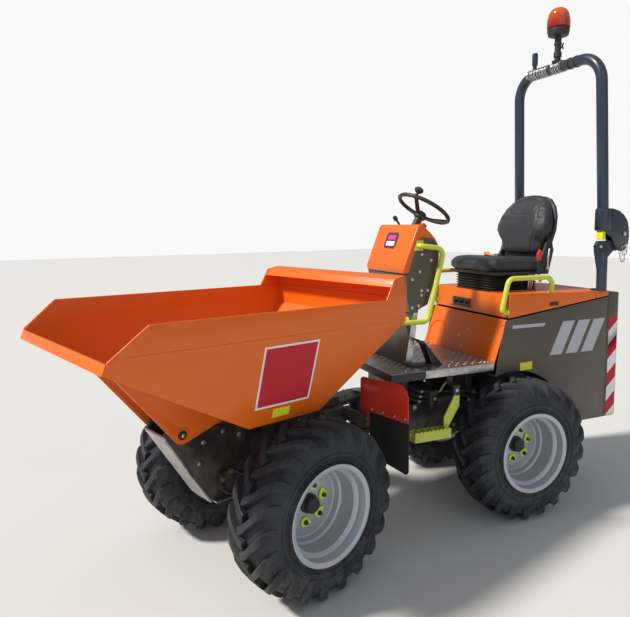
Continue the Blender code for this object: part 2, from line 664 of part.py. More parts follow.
def engine_cover():
    """A wedge-sided box lid, open below, that carries the seat."""
    hinge = (0.0, COVER_REAR, COVER_TOP)
    outline = [(COVER_FRONT, 1.080), (COVER_REAR, 1.159), (COVER_REAR, COVER_TOP),
               (COVER_FRONT + 0.003, COVER_TOP)]
    lid = prism("engine_cover", outline, "X", -BODY_HALF, BODY_HALF, rear,
                material("engine_cover", ORANGE, 0.35), hinge)
    inside = [(COVER_FRONT + SHEET, 1.070), (COVER_REAR - SHEET, 1.140),
              (COVER_REAR - SHEET, COVER_TOP - SHEET), (COVER_FRONT + 0.003 + SHEET, COVER_TOP - SHEET)]
    hollow = prism("g_lid_inside", inside, "X", -BODY_HALF + SHEET, BODY_HALF - SHEET, rear)
    combine(lid, hollow, how="DIFFERENCE")


platform()
body_panels()
engine_cover()


# ---------------------------------------------------------------- seat
def seat():
    hinge = (0.0, COVER_REAR, COVER_TOP)
    base_z = COVER_TOP + TOUCH
    cushion_z = base_z + 0.110
    block("seat_base", (-0.185, 0.185), (0.750, 1.110), (base_z, cushion_z - TOUCH), rear,
          material("seat_base", BLACK, 0.7), hinge)
    cushion = [(0.708, cushion_z + 0.020), (0.738, cushion_z), (1.112, cushion_z),
               (1.112, cushion_z + 0.075), (0.780, cushion_z + 0.088), (0.726, cushion_z + 0.078),
               (0.708, cushion_z + 0.055)]
    prism("seat_cushion", cushion, "X", -0.238, 0.238, rear,
          material("seat_cushion", BLACK, 0.6), hinge)
    back = [(1.120, 1.290), (1.160, 1.290), (1.165, 1.430), (1.205, 1.690), (1.232, 1.765),
            (1.205, 1.785), (1.168, 1.768), (1.092, 1.660), (1.054, 1.560), (1.080, 1.480),
            (1.092, 1.412), (1.120, 1.405)]
    prism("seat_back", back, "X", -0.222, 0.222, rear, material("seat_back", BLACK, 0.6), hinge)


seat()


# ---------------------------------------------------------------- rails and steps
def rails():
    hinge = (0.0, COVER_REAR, COVER_TOP)
    for side_name, side in SIDES:
        lime = material(f"grab_rail_{side_name}", LIME, 0.4)
        x = side * 0.345
        grab = [(x, COVER_FRONT - TOUCH, 1.112), (x, 0.697, 1.112), (x, 0.742, 1.296),
                (x, 1.050, 1.296), (x, 1.050, COVER_TOP + TOUCH)]
        tube(f"grab_rail_{side_name}", rounded_path(grab, 0.018, 3)[:5]
             + rounded_path(grab, 0.045, 4)[6:], 0.014, 10, rear, lime, hinge)
        lime = material(f"hand_rail_{side_name}", LIME, 0.4)
        x = side * 0.244
        hand = [(side * (CONSOLE_HALF + SHEET + 2 * TOUCH), 0.240, 1.478), (x, 0.240, 1.478),
                (x, 0.385, 1.462), (x, 0.288, 1.076), (x, 0.150, 1.076), (side * 0.180, 0.150, 1.076),
                (side * 0.180, 0.2020, 1.076)]
        bends = rounded_path(hand[:3], 0.018, 4)[:-1] + rounded_path(hand[1:5], 0.040, 4)[1:-1]
        bends += rounded_path(hand[3:], 0.022, 4)[1:]
        tube(f"hand_rail_{side_name}", bends, 0.014, 10, rear, lime)


def steps():
    under_floor = FLOOR_TOP - SHEET - TOUCH
    hanger = [(0.345, 0.760), (0.345, 0.700), (0.288, 0.600), (0.288, 0.520), (0.300, 0.520),
              (0.382, 0.652), (0.382, 0.760)]
    for side_name, side in SIDES:
        x = sorted((side * 0.403, side * 0.415))
        step = prism(f"step_{side_name}", hanger, "X", x[0], x[1], rear,
                     material(f"step_{side_name}", LIME, 0.4))
        tread_x = sorted((side * 0.350, side * 0.448))
        shelf_x = sorted((side * 0.345, side * 0.415))
        riser_x = sorted((side * 0.345, side * 0.357))
        tread = block(f"g_tread_{side_name}", tread_x, (0.096, 0.310), (0.502, 0.556), rear)
        shelf = block(f"g_shelf_{side_name}", shelf_x, (0.345, 0.382), (0.748, 0.760), rear)
        riser = block(f"g_riser_{side_name}", riser_x, (0.345, 0.382), (0.748, under_floor), rear)
        combine(step, tread, shelf, riser)


rails()
steps()


# ---------------------------------------------------------------- console and steering
def console():
    cowl = [(0.154, 1.357), (0.238, 1.578), (0.250, 1.590), (0.268, 1.588), (0.314, 1.550),
            (0.352, 1.513), (0.372, 1.475), (0.362, 1.400), (0.345, 1.330), (0.158, 1.330)]
    prism("console_cowl", cowl, "X", -CONSOLE_HALF, CONSOLE_HALF, rear,
          material("console_cowl", ORANGE, 0.35))
    neck = [(0.168, 1.3297), (0.180, 1.190), (0.205, 1.120), (0.300, 1.164), (0.335, 1.3297)]
    plate = CONSOLE_HALF + SHEET
    column = prism("console_column", neck, "X", -plate, plate, rear,
                   material("console_column", CHARCOAL, 0.5))
    shin = [(0.169, FLOOR_TOP + TOUCH), (0.212, FLOOR_TOP + TOUCH), (0.250, 1.160), (0.221, 1.160)]
    leg = prism("g_leg", shin, "X", -CONSOLE_HALF, CONSOLE_HALF, rear)
    combine(column, leg)
    flank = [(0.255, 1.522), (0.227, 1.461), (0.204, 1.388), (0.173, 1.292), (0.174, 1.201),
             (0.196, 1.118), (0.302, 1.164), (0.352, 1.316), (0.370, 1.418), (0.366, 1.470),
             (0.330, 1.515)]
    for side_name, side in SIDES:
        x = sorted((side * (CONSOLE_HALF + TOUCH), side * plate))
        combine(column, prism(f"g_plate_{side_name}", flank, "X", x[0], x[1], rear))
    tilt = Vector((0.0, math.sin(WHEEL_TILT), math.cos(WHEEL_TILT)))
    centre = Vector((0.0, *WHEEL_CENTRE))
    hub_low = centre - tilt * 0.062
    stem = rod("steering_column", hub_low - tilt * 0.130, hub_low - tilt * 0.003, 0.022, 16, rear,
               material("steering_column", BLACK, 0.5))
    grown = [(0.150, 1.350), (0.2375, 1.5785), (0.2500, 1.5906), (0.2686, 1.5888), (0.3147, 1.5507),
             (0.3527, 1.5136), (0.3730, 1.475), (0.3730, 1.320), (0.150, 1.320)]
    combine(stem, prism("g_cowl_room", grown, "X", -0.1, 0.1, rear), how="DIFFERENCE")
    pedal = [(0.164, FLOOR_TOP + TOUCH), (0.357, FLOOR_TOP + TOUCH), (0.247, 0.978), (0.203, 0.996),
             (0.240, 0.905), (0.236, 0.884), (0.164, 0.860)]
    prism("drive_pedal", pedal, "X", 0.222, 0.292, rear, material("drive_pedal", BLACK, 0.7))


def steering_wheel():
    tilt = Vector((0.0, math.sin(WHEEL_TILT), math.cos(WHEEL_TILT)))
    centre = Vector((0.0, *WHEEL_CENTRE))
    across = Vector((1.0, 0.0, 0.0))
    forward = tilt.cross(across)
    look = material("steering_wheel", BLACK, 0.5)
    ring = [(WHEEL_GRIP * math.sin(2 * math.pi * i / 8), WHEEL_RING + WHEEL_GRIP * math.cos(2 * math.pi * i / 8))
            for i in range(8)]
    grip = lathe("steering_wheel", ring, 36, rear, centre, tilt, look)
    hub_profile = [(-0.062, 0.0), (-0.062, 0.034), (-0.020, 0.028), (-0.016, 0.0)]
    parts = [lathe("g_hub", hub_profile, 20, rear, centre, tilt)]
    for i in range(3):
        angle = KNOB_BEARING + math.radians(120 * i)
        way = across * math.cos(angle) + forward * math.sin(angle)
        parts.append(rod(f"g_spoke_{i}", centre + way * 0.015 - tilt * 0.036,
                         centre + way * WHEEL_RING, 0.008, 8, rear))
    knob_at = centre + (across * math.cos(KNOB_BEARING) + forward * math.sin(KNOB_BEARING)) * WHEEL_RING
    knob = [(0.005, 0.0), (0.005, 0.007), (0.020, 0.007), (0.026, 0.020), (0.038, 0.026),
            (0.050, 0.020), (0.056, 0.0)]
    parts.append(lathe("g_knob", knob, 14, rear, knob_at, tilt))
    combine(grip, *parts)


console()
steering_wheel()


# ---------------------------------------------------------------- roll-over hoop
def hoop():
    hinge = (0.0, *HOOP_HINGE)
    paint = material("rops_hoop", BLUE_GREY, 0.45)
    path = rounded_path([(HOOP_HALF, HOOP_FOOT_Y, 1.560), (HOOP_TOP_HALF, HOOP_TOP_Y, HOOP_TOP),
                         (-HOOP_TOP_HALF, HOOP_TOP_Y, HOOP_TOP), (-HOOP_HALF, HOOP_FOOT_Y, 1.560)],
                        0.150, 6)
    bow = tube("rops_hoop", path, HOOP_TUBE, 16, rear, paint, hinge)
    cheek = [(1.372, 1.560), (1.372, 1.688), (1.469, 1.687), (1.553, 1.656), (1.599, 1.591),
             (1.603, 1.501), (1.560, 1.438), (1.510, 1.440), (1.470, 1.500), (1.430, 1.540)]
    pieces = []
    for side_name, side in SIDES:
        for label, sign in (("in", -1.0), ("out", 1.0)):
            x = sorted((side * HOOP_HALF + sign * HOOP_CHEEK_GAP,
                        side * HOOP_HALF + sign * (HOOP_CHEEK_GAP + 0.010)))
            pieces.append(prism(f"g_cheek_{label}_{side_name}", cheek, "X", x[0], x[1], rear))
        pieces.append(rod(f"g_sleeve_{side_name}", (side * HOOP_HALF, HOOP_FOOT_Y + 0.0005, 1.5595),
                          (side * HOOP_HALF, HOOP_FOOT_Y - 0.005, 1.686), 0.041, 16, rear))
    spigot = [(0.0, 0.0), (0.0, 0.009), (0.060, 0.009), (0.060, 0.018), (0.140, 0.018),
              (0.140, 0.0)]
    pieces.append(lathe("g_spigot", spigot, 12, rear, (-0.200, HOOP_TOP_Y, HOOP_TOP)))
    combine(bow, *pieces)

    for side_name, side in SIDES:
        x = side * HOOP_HALF
        top = 1.430
        post = rod(f"rops_post_{side_name}", (x, HOOP_FOOT_Y + 0.005, REAR_DECK_TOP + 0.004),
                   (x, HOOP_FOOT_Y + 0.002, top), 0.030, 16, rear,
                   material(f"rops_post_{side_name}", BLUE_GREY, 0.5))
        lug = [(1.392, 1.300), (1.358, 1.430), (1.352, 1.470), (1.372, 1.497), (1.480, 1.500),
               (1.525, 1.560)] + arc(HOOP_HINGE, 0.036, 150, -60, 10) + [(1.450, 1.400), (1.440, 1.300)]
        low, high = x - 0.010, x + 0.010
        foot_x = sorted((x - 0.050 * side, x + 0.005 * side))
        foot = block(f"g_foot_{side_name}", foot_x, (1.382, 1.458),
                     (REAR_DECK_TOP + TOUCH, REAR_DECK_TOP + 0.012), rear)
        combine(post, prism(f"g_lug_{side_name}", lug, "X", low, high, rear), foot)


hoop()


# ---------------------------------------------------------------- beacon
BAR_TOP = HOOP_TOP + HOOP_TUBE
STALK = [(0.0, 0.0), (0.0, 0.019), (0.060, 0.019), (0.062, 0.024), (0.100, 0.024),
         (0.104, 0.020), (0.155, 0.020), (0.158, 0.062), (0.205, 0.062), (0.205, 0.0)]
lathe("beacon_base", STALK, 24, rear, (0.0, HOOP_TOP_Y, BAR_TOP + TOUCH),
      look=material("beacon_base", BLACK, 0.5))
DOME = [(0.0, 0.0), (0.0, 0.070), (0.070, 0.068), (0.100, 0.058), (0.117, 0.036), (0.124, 0.0)]
lathe("beacon_dome", DOME, 24, rear, (0.0, HOOP_TOP_Y, BAR_TOP + 0.205 + 2 * TOUCH),
      look=material("beacon_dome", AMBER, 0.15))
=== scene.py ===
# %% [markdown]
# # A one-tonne site dumper, built around its imported frame
# The machine is articulated: a front half with the tipping skip and a rear half with the driver,
# joined at an upright pivot. The imported solids give every size. Here each one gets its real
# surface, and the small things that sheet metal, rubber and paint carry are added to it.

# %% Frame and halves
import json
import math

import bmesh
import bpy
from mathutils import Matrix, Vector
from mathutils.bvhtree import BVHTree


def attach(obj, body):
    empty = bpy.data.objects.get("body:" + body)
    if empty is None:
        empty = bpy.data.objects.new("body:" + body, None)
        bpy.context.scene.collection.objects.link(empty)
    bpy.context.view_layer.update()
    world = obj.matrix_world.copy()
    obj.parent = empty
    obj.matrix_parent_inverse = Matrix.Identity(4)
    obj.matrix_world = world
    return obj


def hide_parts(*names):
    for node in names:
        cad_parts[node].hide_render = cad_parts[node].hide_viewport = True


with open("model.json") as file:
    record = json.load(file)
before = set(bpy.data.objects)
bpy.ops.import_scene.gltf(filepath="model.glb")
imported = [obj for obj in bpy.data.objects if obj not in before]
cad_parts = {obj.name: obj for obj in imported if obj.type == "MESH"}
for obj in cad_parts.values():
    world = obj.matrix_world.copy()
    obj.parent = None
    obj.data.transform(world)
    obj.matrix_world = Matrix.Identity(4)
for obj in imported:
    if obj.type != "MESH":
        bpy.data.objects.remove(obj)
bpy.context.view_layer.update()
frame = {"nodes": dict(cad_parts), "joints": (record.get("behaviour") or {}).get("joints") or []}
joints = {joint["name"]: joint for joint in frame["joints"]}
pivot = Vector(joints["steer"]["pos_m"])
swing = Vector(joints["chassis_swing"]["axis"])
rest_steer = math.atan2(-swing.x, swing.y)
front_axle_at = Vector(joints["front_left_roll"]["pos_m"])
FRONT = Matrix.Translation((pivot.x, front_axle_at.y, 0.0))
REAR = Matrix.Translation((pivot.x, pivot.y, 0.0)) @ Matrix.Rotation(rest_steer, 4, "Z")
SIDES = (("left", 1.0), ("right", -1.0))
print("rear half stands at", round(math.degrees(rest_steer), 2), "degrees")

# %% [markdown]
# The camera comes first, because where it stands decides how much of a hose can be seen.
# It stands ahead and to the left, at chest height, with a normal lens a little shifted, as when a
# machine is shown in a yard.

# %% Camera
lens = bpy.data.cameras.new("camera")
lens.lens = 34.185
lens.sensor_width = 36.0
lens.shift_x = -0.0545
lens.shift_y = -0.0369
camera = bpy.data.objects.new("camera", lens)
bpy.context.collection.objects.link(camera)
turn, rise, tip = math.radians(46.85), math.radians(5.458), math.radians(0.09)
backward = Vector((math.sin(turn) * math.cos(rise), -math.cos(turn) * math.cos(rise), math.sin(rise)))
rightward = Vector((math.cos(turn), math.sin(turn), 0.0))
upward = backward.cross(rightward)
aim = Matrix((rightward, upward, backward)).transposed() @ Matrix.Rotation(tip, 3, "Z")
camera.matrix_world = FRONT @ Matrix.Translation((2.336, -1.581, 1.570)) @ aim.to_4x4()
bpy.context.scene.camera = camera
print("camera at", [round(v, 2) for v in camera.matrix_world.translation])

# %% [markdown]
# ## Finishes
# Each finish is a small node tree: a colour that drifts a little over the panel, dust that gathers
# low down (on the beacon lens, painted shade that darkens its lower part instead), and a fine relief. They read
# Object coordinates, so nothing slides when a body moves.


# %% Node helpers
def finish_tree(name, roughness=0.5, metallic=0.0, coat=0.0, ior=1.45):
    made = bpy.data.materials.new(name)
    made.use_nodes = True
    tree = made.node_tree
    shader = tree.nodes["Principled BSDF"]
    shader.inputs["Roughness"].default_value = roughness
    shader.inputs["Metallic"].default_value = metallic
    shader.inputs["Coat Weight"].default_value = coat
    shader.inputs["Coat Roughness"].default_value = 0.08
    shader.inputs["IOR"].default_value = ior
    place = tree.nodes.new("ShaderNodeTexCoord")
    return made, tree, shader, place.outputs["Object"]


def drift(tree, place, scale, detail=3.0, rough=0.5, stretch=(1.0, 1.0, 1.0)):
    """A noise from 0 to 1 at scale waves per metre."""
    mapping = tree.nodes.new("ShaderNodeMapping")
    mapping.inputs["Scale"].default_value = stretch
    tree.links.new(place, mapping.inputs["Vector"])
    noise = tree.nodes.new("ShaderNodeTexNoise")
    noise.inputs["Scale"].default_value = scale
    noise.inputs["Detail"].default_value = detail
    noise.inputs["Roughness"].default_value = rough
    tree.links.new(mapping.outputs["Vector"], noise.inputs["Vector"])
    return noise.outputs["Fac"]


def curve_range(tree, value, low, high, to_low=0.0, to_high=1.0):
    node = tree.nodes.new("ShaderNodeMapRange")
    node.inputs["From Min"].default_value = low
    node.inputs["From Max"].default_value = high
    node.inputs["To Min"].default_value = to_low
    node.inputs["To Max"].default_value = to_high
    tree.links.new(value, node.inputs["Value"])
    return node.outputs["Result"]


def times(tree, a, b):
    node = tree.nodes.new("ShaderNodeMath")
    node.operation = "MULTIPLY"
    tree.links.new(a, node.inputs[0])
    if isinstance(b, float):
        node.inputs[1].default_value = b
    else:
        tree.links.new(b, node.inputs[1])
    return node.outputs["Value"]


def blend_colour(tree, factor, under, over):
    node = tree.nodes.new("ShaderNodeMix")
    node.data_type = "RGBA"
    tree.links.new(factor, node.inputs["Factor"])
    for socket, colour in ((node.inputs["A"], under), (node.inputs["B"], over)):
        if isinstance(colour, tuple):
            socket.default_value = (*colour, 1.0)
        else:
            tree.links.new(colour, socket)
    return node.outputs["Result"]


def relief(tree, shader, height, distance, strength=1.0):
    bump = tree.nodes.new("ShaderNodeBump")
    bump.inputs["Strength"].default_value = strength
    bump.inputs["Distance"].default_value = distance
    tree.links.new(height, bump.inputs["Height"])
    tree.links.new(bump.outputs["Normal"], shader.inputs["Normal"])


def low_down(tree, place, high, low):
    """0 above high, 1 below low: where mud and dust gather, and on the beacon lens where its lower part is painted
    darker as shade.
    """
    split = tree.nodes.new("ShaderNodeSeparateXYZ")
    tree.links.new(place, split.inputs["Vector"])
    return curve_range(tree, split.outputs["Z"], high, low)


# %% [markdown]
# Machine paint is sprayed thick: glossy, with a faint orange-peel relief and a slow drift in tone.
# Dust settles on it low down, where the wheels throw it.


# %% Paints
DUST = (0.30, 0.25, 0.19)


def paint(name, colour, roughness=0.32, coat=0.35, dust=0.25, peel=0.0003, metallic=0.0):
    made, tree, shader, place = finish_tree(name, roughness, metallic, coat)
    shade = tuple(0.88 * c for c in colour)
    tone = blend_colour(tree, drift(tree, place, 2.3), shade, colour)
    grime = times(tree, low_down(tree, place, 1.0, 0.25), curve_range(tree, drift(tree, place, 9.0, 6.0, 0.65), 0.42,
            0.72))
    tone = blend_colour(tree, times(tree, grime, dust), tone, DUST)
    tree.links.new(tone, shader.inputs["Base Color"])
    gloss = curve_range(tree, drift(tree, place, 14.0, 4.0), 0.2, 0.8, roughness - 0.05, roughness + 0.10)
    tree.links.new(gloss, shader.inputs["Roughness"])
    relief(tree, shader, drift(tree, place, 420.0, 2.0), peel)
    return made


orange_paint = paint("orange_paint", (0.76, 0.138, 0.004), roughness=0.40, coat=0.12, dust=0.10)
guard_paint = paint("guard_paint", (0.62, 0.034, 0.012), dust=0.15)
panel_paint = paint("panel_paint", (0.082, 0.068, 0.050), roughness=0.36, coat=0.15, dust=0.2)
chassis_paint = paint("chassis_paint", (0.020, 0.019, 0.022), roughness=0.42, coat=0.1, dust=0.5)
hoop_paint = paint("hoop_paint", (0.020, 0.034, 0.054), roughness=0.30, coat=0.3, dust=0.0)
lime_paint = paint("lime_paint", (0.60, 0.66, 0.070), roughness=0.35, coat=0.2, dust=0.3)
wheel_paint = paint("wheel_paint", (0.48, 0.52, 0.57), roughness=0.34, coat=0.2, dust=0.25, metallic=0.35)
sign_white = paint("sign_white", (0.82, 0.82, 0.80), roughness=0.5, coat=0.0, dust=0.0)
sign_red = paint("sign_red", (0.52, 0.004, 0.022), roughness=0.5, coat=0.0, dust=0.0)
sign_yellow = paint("sign_yellow", (0.80, 0.76, 0.03), roughness=0.5, coat=0.0, dust=0.0)
sign_silver = paint("sign_silver", (0.46, 0.47, 0.52), roughness=0.5, coat=0.0, dust=0.0)
sign_pink = paint("sign_pink", (0.62, 0.060, 0.260), roughness=0.5, coat=0.0, dust=0.0)
sign_dark = paint("sign_dark", (0.090, 0.022, 0.090), roughness=0.5, coat=0.0, dust=0.0)
print("paints made")

# %% [markdown]
# Rubber, vinyl and moulded plastic differ in their relief: tyre rubber is dull and dusty, seat vinyl
# has a pebbled grain, plastic a fine even texture.


# %% Rubber, vinyl, plastic
def tyre_rubber():
    made, tree, shader, place = finish_tree("tyre_rubber", 0.68)
    shader.inputs["Specular IOR Level"].default_value = 0.35
    patches = curve_range(tree, drift(tree, place, 7.0, 6.0, 0.7), 0.40, 0.75)
    tone = blend_colour(tree, patches, (0.018, 0.020, 0.027), (0.058, 0.060, 0.066))
    dusty = times(tree, low_down(tree, place, 0.45, 0.0), curve_range(tree, drift(tree, place, 24.0, 6.0, 0.7), 0.45,
            0.7))
    tone = blend_colour(tree, times(tree, dusty, 0.45), tone, (0.20, 0.19, 0.17))
    tree.links.new(tone, shader.inputs["Base Color"])
    tree.links.new(curve_range(tree, patches, 0.0, 1.0, 0.58, 0.78), shader.inputs["Roughness"])
    relief(tree, shader, drift(tree, place, 260.0, 4.0, 0.7), 0.0008)
    return made


def seat_vinyl():
    made, tree, shader, place = finish_tree("seat_vinyl", 0.42)
    shader.inputs["Sheen Weight"].default_value = 0.05
    cells = tree.nodes.new("ShaderNodeTexVoronoi")
    cells.inputs["Scale"].default_value = 520.0
    tree.links.new(place, cells.inputs["Vector"])
    tone = blend_colour(tree, drift(tree, place, 5.0, 4.0), (0.016, 0.017, 0.023), (0.032, 0.033, 0.041))
    tree.links.new(tone, shader.inputs["Base Color"])
    tree.links.new(curve_range(tree, drift(tree, place, 11.0, 5.0), 0.3, 0.7, 0.36, 0.50), shader.inputs["Roughness"])
    relief(tree, shader, cells.outputs["Distance"], 0.0010, 0.5)
    return made


def moulded(name, colour, roughness=0.5, scale=900.0, depth=0.0002):
    made, tree, shader, place = finish_tree(name, roughness)
    lighter = tuple(min(1.0, 1.35 * c + 0.004) for c in colour)
    tree.links.new(blend_colour(tree, drift(tree, place, 12.0, 4.0), colour, lighter), shader.inputs["Base Color"])
    relief(tree, shader, drift(tree, place, scale, 2.0), depth)
    return made


rubber = tyre_rubber()
vinyl = seat_vinyl()
black_plastic = moulded("black_plastic", (0.018, 0.018, 0.020))
hose_rubber = moulded("hose_rubber", (0.016, 0.016, 0.017), 0.55, 300.0, 0.0004)
grip_plastic = moulded("grip_plastic", (0.022, 0.021, 0.021), 0.45)
red_plastic = moulded("red_plastic", (0.55, 0.020, 0.015), 0.35)
lime_plastic = moulded("lime_plastic", (0.58, 0.78, 0.030), 0.4)
belt_web = moulded("belt_web", (0.75, 0.22, 0.06), 0.7, 700.0, 0.0006)
flap_rubber = moulded("flap_rubber", (0.012, 0.012, 0.013), 0.7, 120.0, 0.0006)
print("rubber, vinyl and plastic made")

# %% [markdown]
# Bare metal: zinc-plated bolts, ground chrome rods, and plate that has been scraped by rubble. The
# scrapes are noise stretched along one axis, which is what dragging stones leave.


# %% Metals and glass
def bare(name, colour, roughness, scratch=(1.0, 1.0, 1.0), scale=60.0, depth=0.0003, stain=None):
    made, tree, shader, place = finish_tree(name, roughness, 1.0)
    lines = drift(tree, place, scale, 5.0, 0.7, scratch)
    darker = tuple(0.62 * c for c in colour)
    tone = blend_colour(tree, curve_range(tree, lines, 0.35, 0.65), darker, colour)
    if stain:
        spots = curve_range(tree, drift(tree, place, 13.0, 6.0, 0.7), 0.50, 0.68)
        tone = blend_colour(tree, times(tree, spots, 0.7), tone, stain)
    tree.links.new(tone, shader.inputs["Base Color"])
    tree.links.new(curve_range(tree, lines, 0.3, 0.7, roughness + 0.1, roughness - 0.06), shader.inputs["Roughness"])
    relief(tree, shader, lines, depth)
    return made


zinc = bare("zinc", (0.72, 0.72, 0.70), 0.32)
brass = bare("brass", (0.80, 0.58, 0.22), 0.34)
chrome = bare("chrome", (0.80, 0.80, 0.82), 0.10, depth=0.00005)
nose_steel = bare("nose_steel", (0.60, 0.58, 0.55), 0.40, (1.0, 9.0, 9.0), 22.0, 0.0008, (0.13, 0.11, 0.10))
floor_plate = bare("floor_plate", (0.62, 0.61, 0.62), 0.34, scale=30.0, stain=(0.42, 0.35, 0.33))
cast_iron = bare("cast_iron", (0.16, 0.16, 0.17), 0.55, scale=200.0, depth=0.0008)


def lens_plastic(name, colour, glow, foot=None):
    """Tinted clear plastic; foot gives a deeper colour and the heights it fades between, a painted shade on the part
    of the lens below them.
    """
    made, tree, shader, place = finish_tree(name, 0.12, 0.0, 0.6)
    shader.inputs["Transmission Weight"].default_value = 0.25
    shader.inputs["Emission Color"].default_value = (*colour, 1.0)
    shader.inputs["Emission Strength"].default_value = glow
    deeper = tuple(0.55 * c for c in colour)
    tone = blend_colour(tree, drift(tree, place, 26.0, 2.0), deeper, colour)
    # Painted shade: below the foot heights the colour fades to the deeper foot colour, darkening the lower part of
    # the beacon dome as shade would.
    if foot:
        tone = blend_colour(tree, low_down(tree, place, foot[1], foot[2]), tone, foot[0])
    tree.links.new(tone, shader.inputs["Base Color"])
    relief(tree, shader, drift(tree, place, 60.0, 1.0), 0.0004)
    return made


# Painted shade: the amber lens fades to deep red below 2.885 m and is fully deep red below 2.815 m, darkening the
# lower part of the beacon dome. The amber tail lamp sits far lower, so it is this deep red all over.
amber_lens = lens_plastic("amber_lens", (0.80, 0.130, 0.008), 0.06, ((0.30, 0.010, 0.006), 2.885, 2.815))
red_lens = lens_plastic("red_lens", (0.55, 0.010, 0.010), 0.05)
print("metals and lenses made")

# %% [markdown]
# ## Shapes
# A few shapes cover most of the machine: an extruded outline is a folded or cut plate, a turned
# profile is a pin or a wheel, a swept circle is a rail or a hose. Each is added to a bmesh in its
# half's own frame, and `piece` then puts it in place, rounds its edges and lets it ride.


# %% Shape helpers
def plate(bm, outline, axis, low, high, slot=0):
    """An outline of (y, z), (x, z) or (x, y) points, made thick along X, Y or Z."""
    place = {"X": lambda a, b, h: (h, a, b), "Y": lambda a, b, h: (a, h, b), "Z": lambda a, b, h: (a, b, h)}[axis]
    rings = [[bm.verts.new(place(a, b, h)) for a, b in outline] for h in (low, high)]
    faces = [bm.faces.new(rings[0]), bm.faces.new(rings[1][::-1])]
    count = len(outline)
    for i in range(count):
        j = (i + 1) % count
        faces.append(bm.faces.new((rings[0][i], rings[0][j], rings[1][j], rings[1][i])))
    for face in faces:
        face.material_index = slot
    return faces


def box(bm, x, y, z, slot=0):
    return plate(bm, [(x[0], y[0]), (x[1], y[0]), (x[1], y[1]), (x[0], y[1])], "Z", z[0], z[1], slot)


def turned(bm, profile, segments, at, direction, slot=0, closed=True):
    """A closed profile of (along, radius), turned about the line through at along direction."""
    spin = Vector((0.0, 0.0, 1.0)).rotation_difference(Vector(direction).normalized()).to_matrix()
    rings = []
    for along, radius in profile:
        if radius < 1e-6:
            rings.append([bm.verts.new(spin @ Vector((0, 0, along)) + Vector(at))])
        else:
            rings.append([bm.verts.new(spin @ Vector((radius * math.cos(a), radius * math.sin(a),
                                                      along)) + Vector(at))
                          for a in (2 * math.pi * i / segments for i in range(segments))])
    steps = len(rings) if closed else len(rings) - 1
    faces = []
    for k in range(steps):
        a, b = rings[k], rings[(k + 1) % len(rings)]
        if len(a) == 1 and len(b) == 1:
            continue
        for i in range(segments):
            j = (i + 1) % segments
            corners = [a[i % len(a)], a[j % len(a)], b[j % len(b)], b[i % len(b)]]
            faces.append(bm.faces.new(list(dict.fromkeys(corners))))
    for face in faces:
        face.material_index = slot
    return faces


def bar(bm, start, end, radius, segments=16, slot=0, edge=0.0):
    """A round bar with its rims taken off by edge."""
    way = Vector(end) - Vector(start)
    run = way.length
    profile = [(0, 0), (0, radius - edge), (edge, radius), (run - edge, radius), (run, radius - edge), (run, 0)]
    if edge <= 0.0:
        profile = [(0, 0), (0, radius), (run, radius), (run, 0)]
    return turned(bm, profile, segments, start, way, slot)


def bent(corners, radius, steps=6):
    """Corners of a polyline, each inner one rounded to radius."""
    points = [Vector(corners[0])]
    for before, corner, after in zip(corners, corners[1:], corners[2:]):
        corner = Vector(corner)
        back = (Vector(before) - corner).normalized()
        ahead = (Vector(after) - corner).normalized()
        half = back.angle(ahead) / 2.0
        centre = corner + (back + ahead).normalized() * (radius / math.sin(half))
        first = corner + back * (radius / math.tan(half)) - centre
        last = corner + ahead * (radius / math.tan(half)) - centre
        points += [centre + first.slerp(last, i / steps) * radius for i in range(steps + 1)]
    return points + [Vector(corners[-1])]


def swept(bm, points, radius, sides=16, slot=0):
    """A round section along points, with closed ends."""
    points = [Vector(p) for p in points]
    normal = (points[1] - points[0]).orthogonal().normalized()
    rings = []
    for i, spot in enumerate(points):
        ahead = (points[min(i + 1, len(points) - 1)] - points[max(i - 1, 0)]).normalized()
        normal = (normal - ahead * normal.dot(ahead)).normalized()
        side = ahead.cross(normal)
        rings.append([bm.verts.new(spot + (normal * math.cos(a) + side * math.sin(a)) * radius)
                      for a in (2 * math.pi * k / sides for k in range(sides))])
    faces = [bm.faces.new(rings[0][::-1]), bm.faces.new(rings[-1])]
    for a, b in zip(rings, rings[1:]):
        for k in range(sides):
            j = (k + 1) % sides
            faces.append(bm.faces.new((a[k], a[j], b[j], b[k])))
    for face in faces:
        face.material_index = slot
    return faces


def arc(centre, radius, start, end, steps):
    return [(centre[0] + radius * math.cos(math.radians(start + (end - start) * i / steps)),
             centre[1] + radius * math.sin(math.radians(start + (end - start) * i / steps)))
            for i in range(steps + 1)]


def bake(obj):
    """Replace a mesh by what its modifiers make of it."""
    made = bpy.data.meshes.new_from_object(obj.evaluated_get(bpy.context.evaluated_depsgraph_get()))
    obj.modifiers.clear()
    obj.data = made
    return obj


def piece(name, bm, half, body, finishes, replaces=(), edge=0.0, segments=2, smooth=32.0):
    """Put a bmesh in place, round its edges, and let it ride on a body."""
    bmesh.ops.remove_doubles(bm, verts=bm.verts, dist=1e-6)
    bmesh.ops.recalc_face_normals(bm, faces=bm.faces)
    bm.transform(half)
    mesh = bpy.data.meshes.new(name)
    bm.to_mesh(mesh)
    bm.free()
    obj = bpy.data.objects.new(name, mesh)
    bpy.context.collection.objects.link(obj)
    for finish in finishes:
        mesh.materials.append(finish)
    if edge > 0.0:
        rim = obj.modifiers.new("rim", "BEVEL")
        rim.width = edge
        rim.segments = segments
        rim.limit_method = "ANGLE"
        rim.angle_limit = math.radians(28.0)
        bake(obj)
    obj.data.shade_smooth()
    obj.data.set_sharp_from_angle(angle=math.radians(smooth))
    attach(obj, body)
    if replaces:
        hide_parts(*([replaces] if isinstance(replaces, str) else replaces))
    return obj


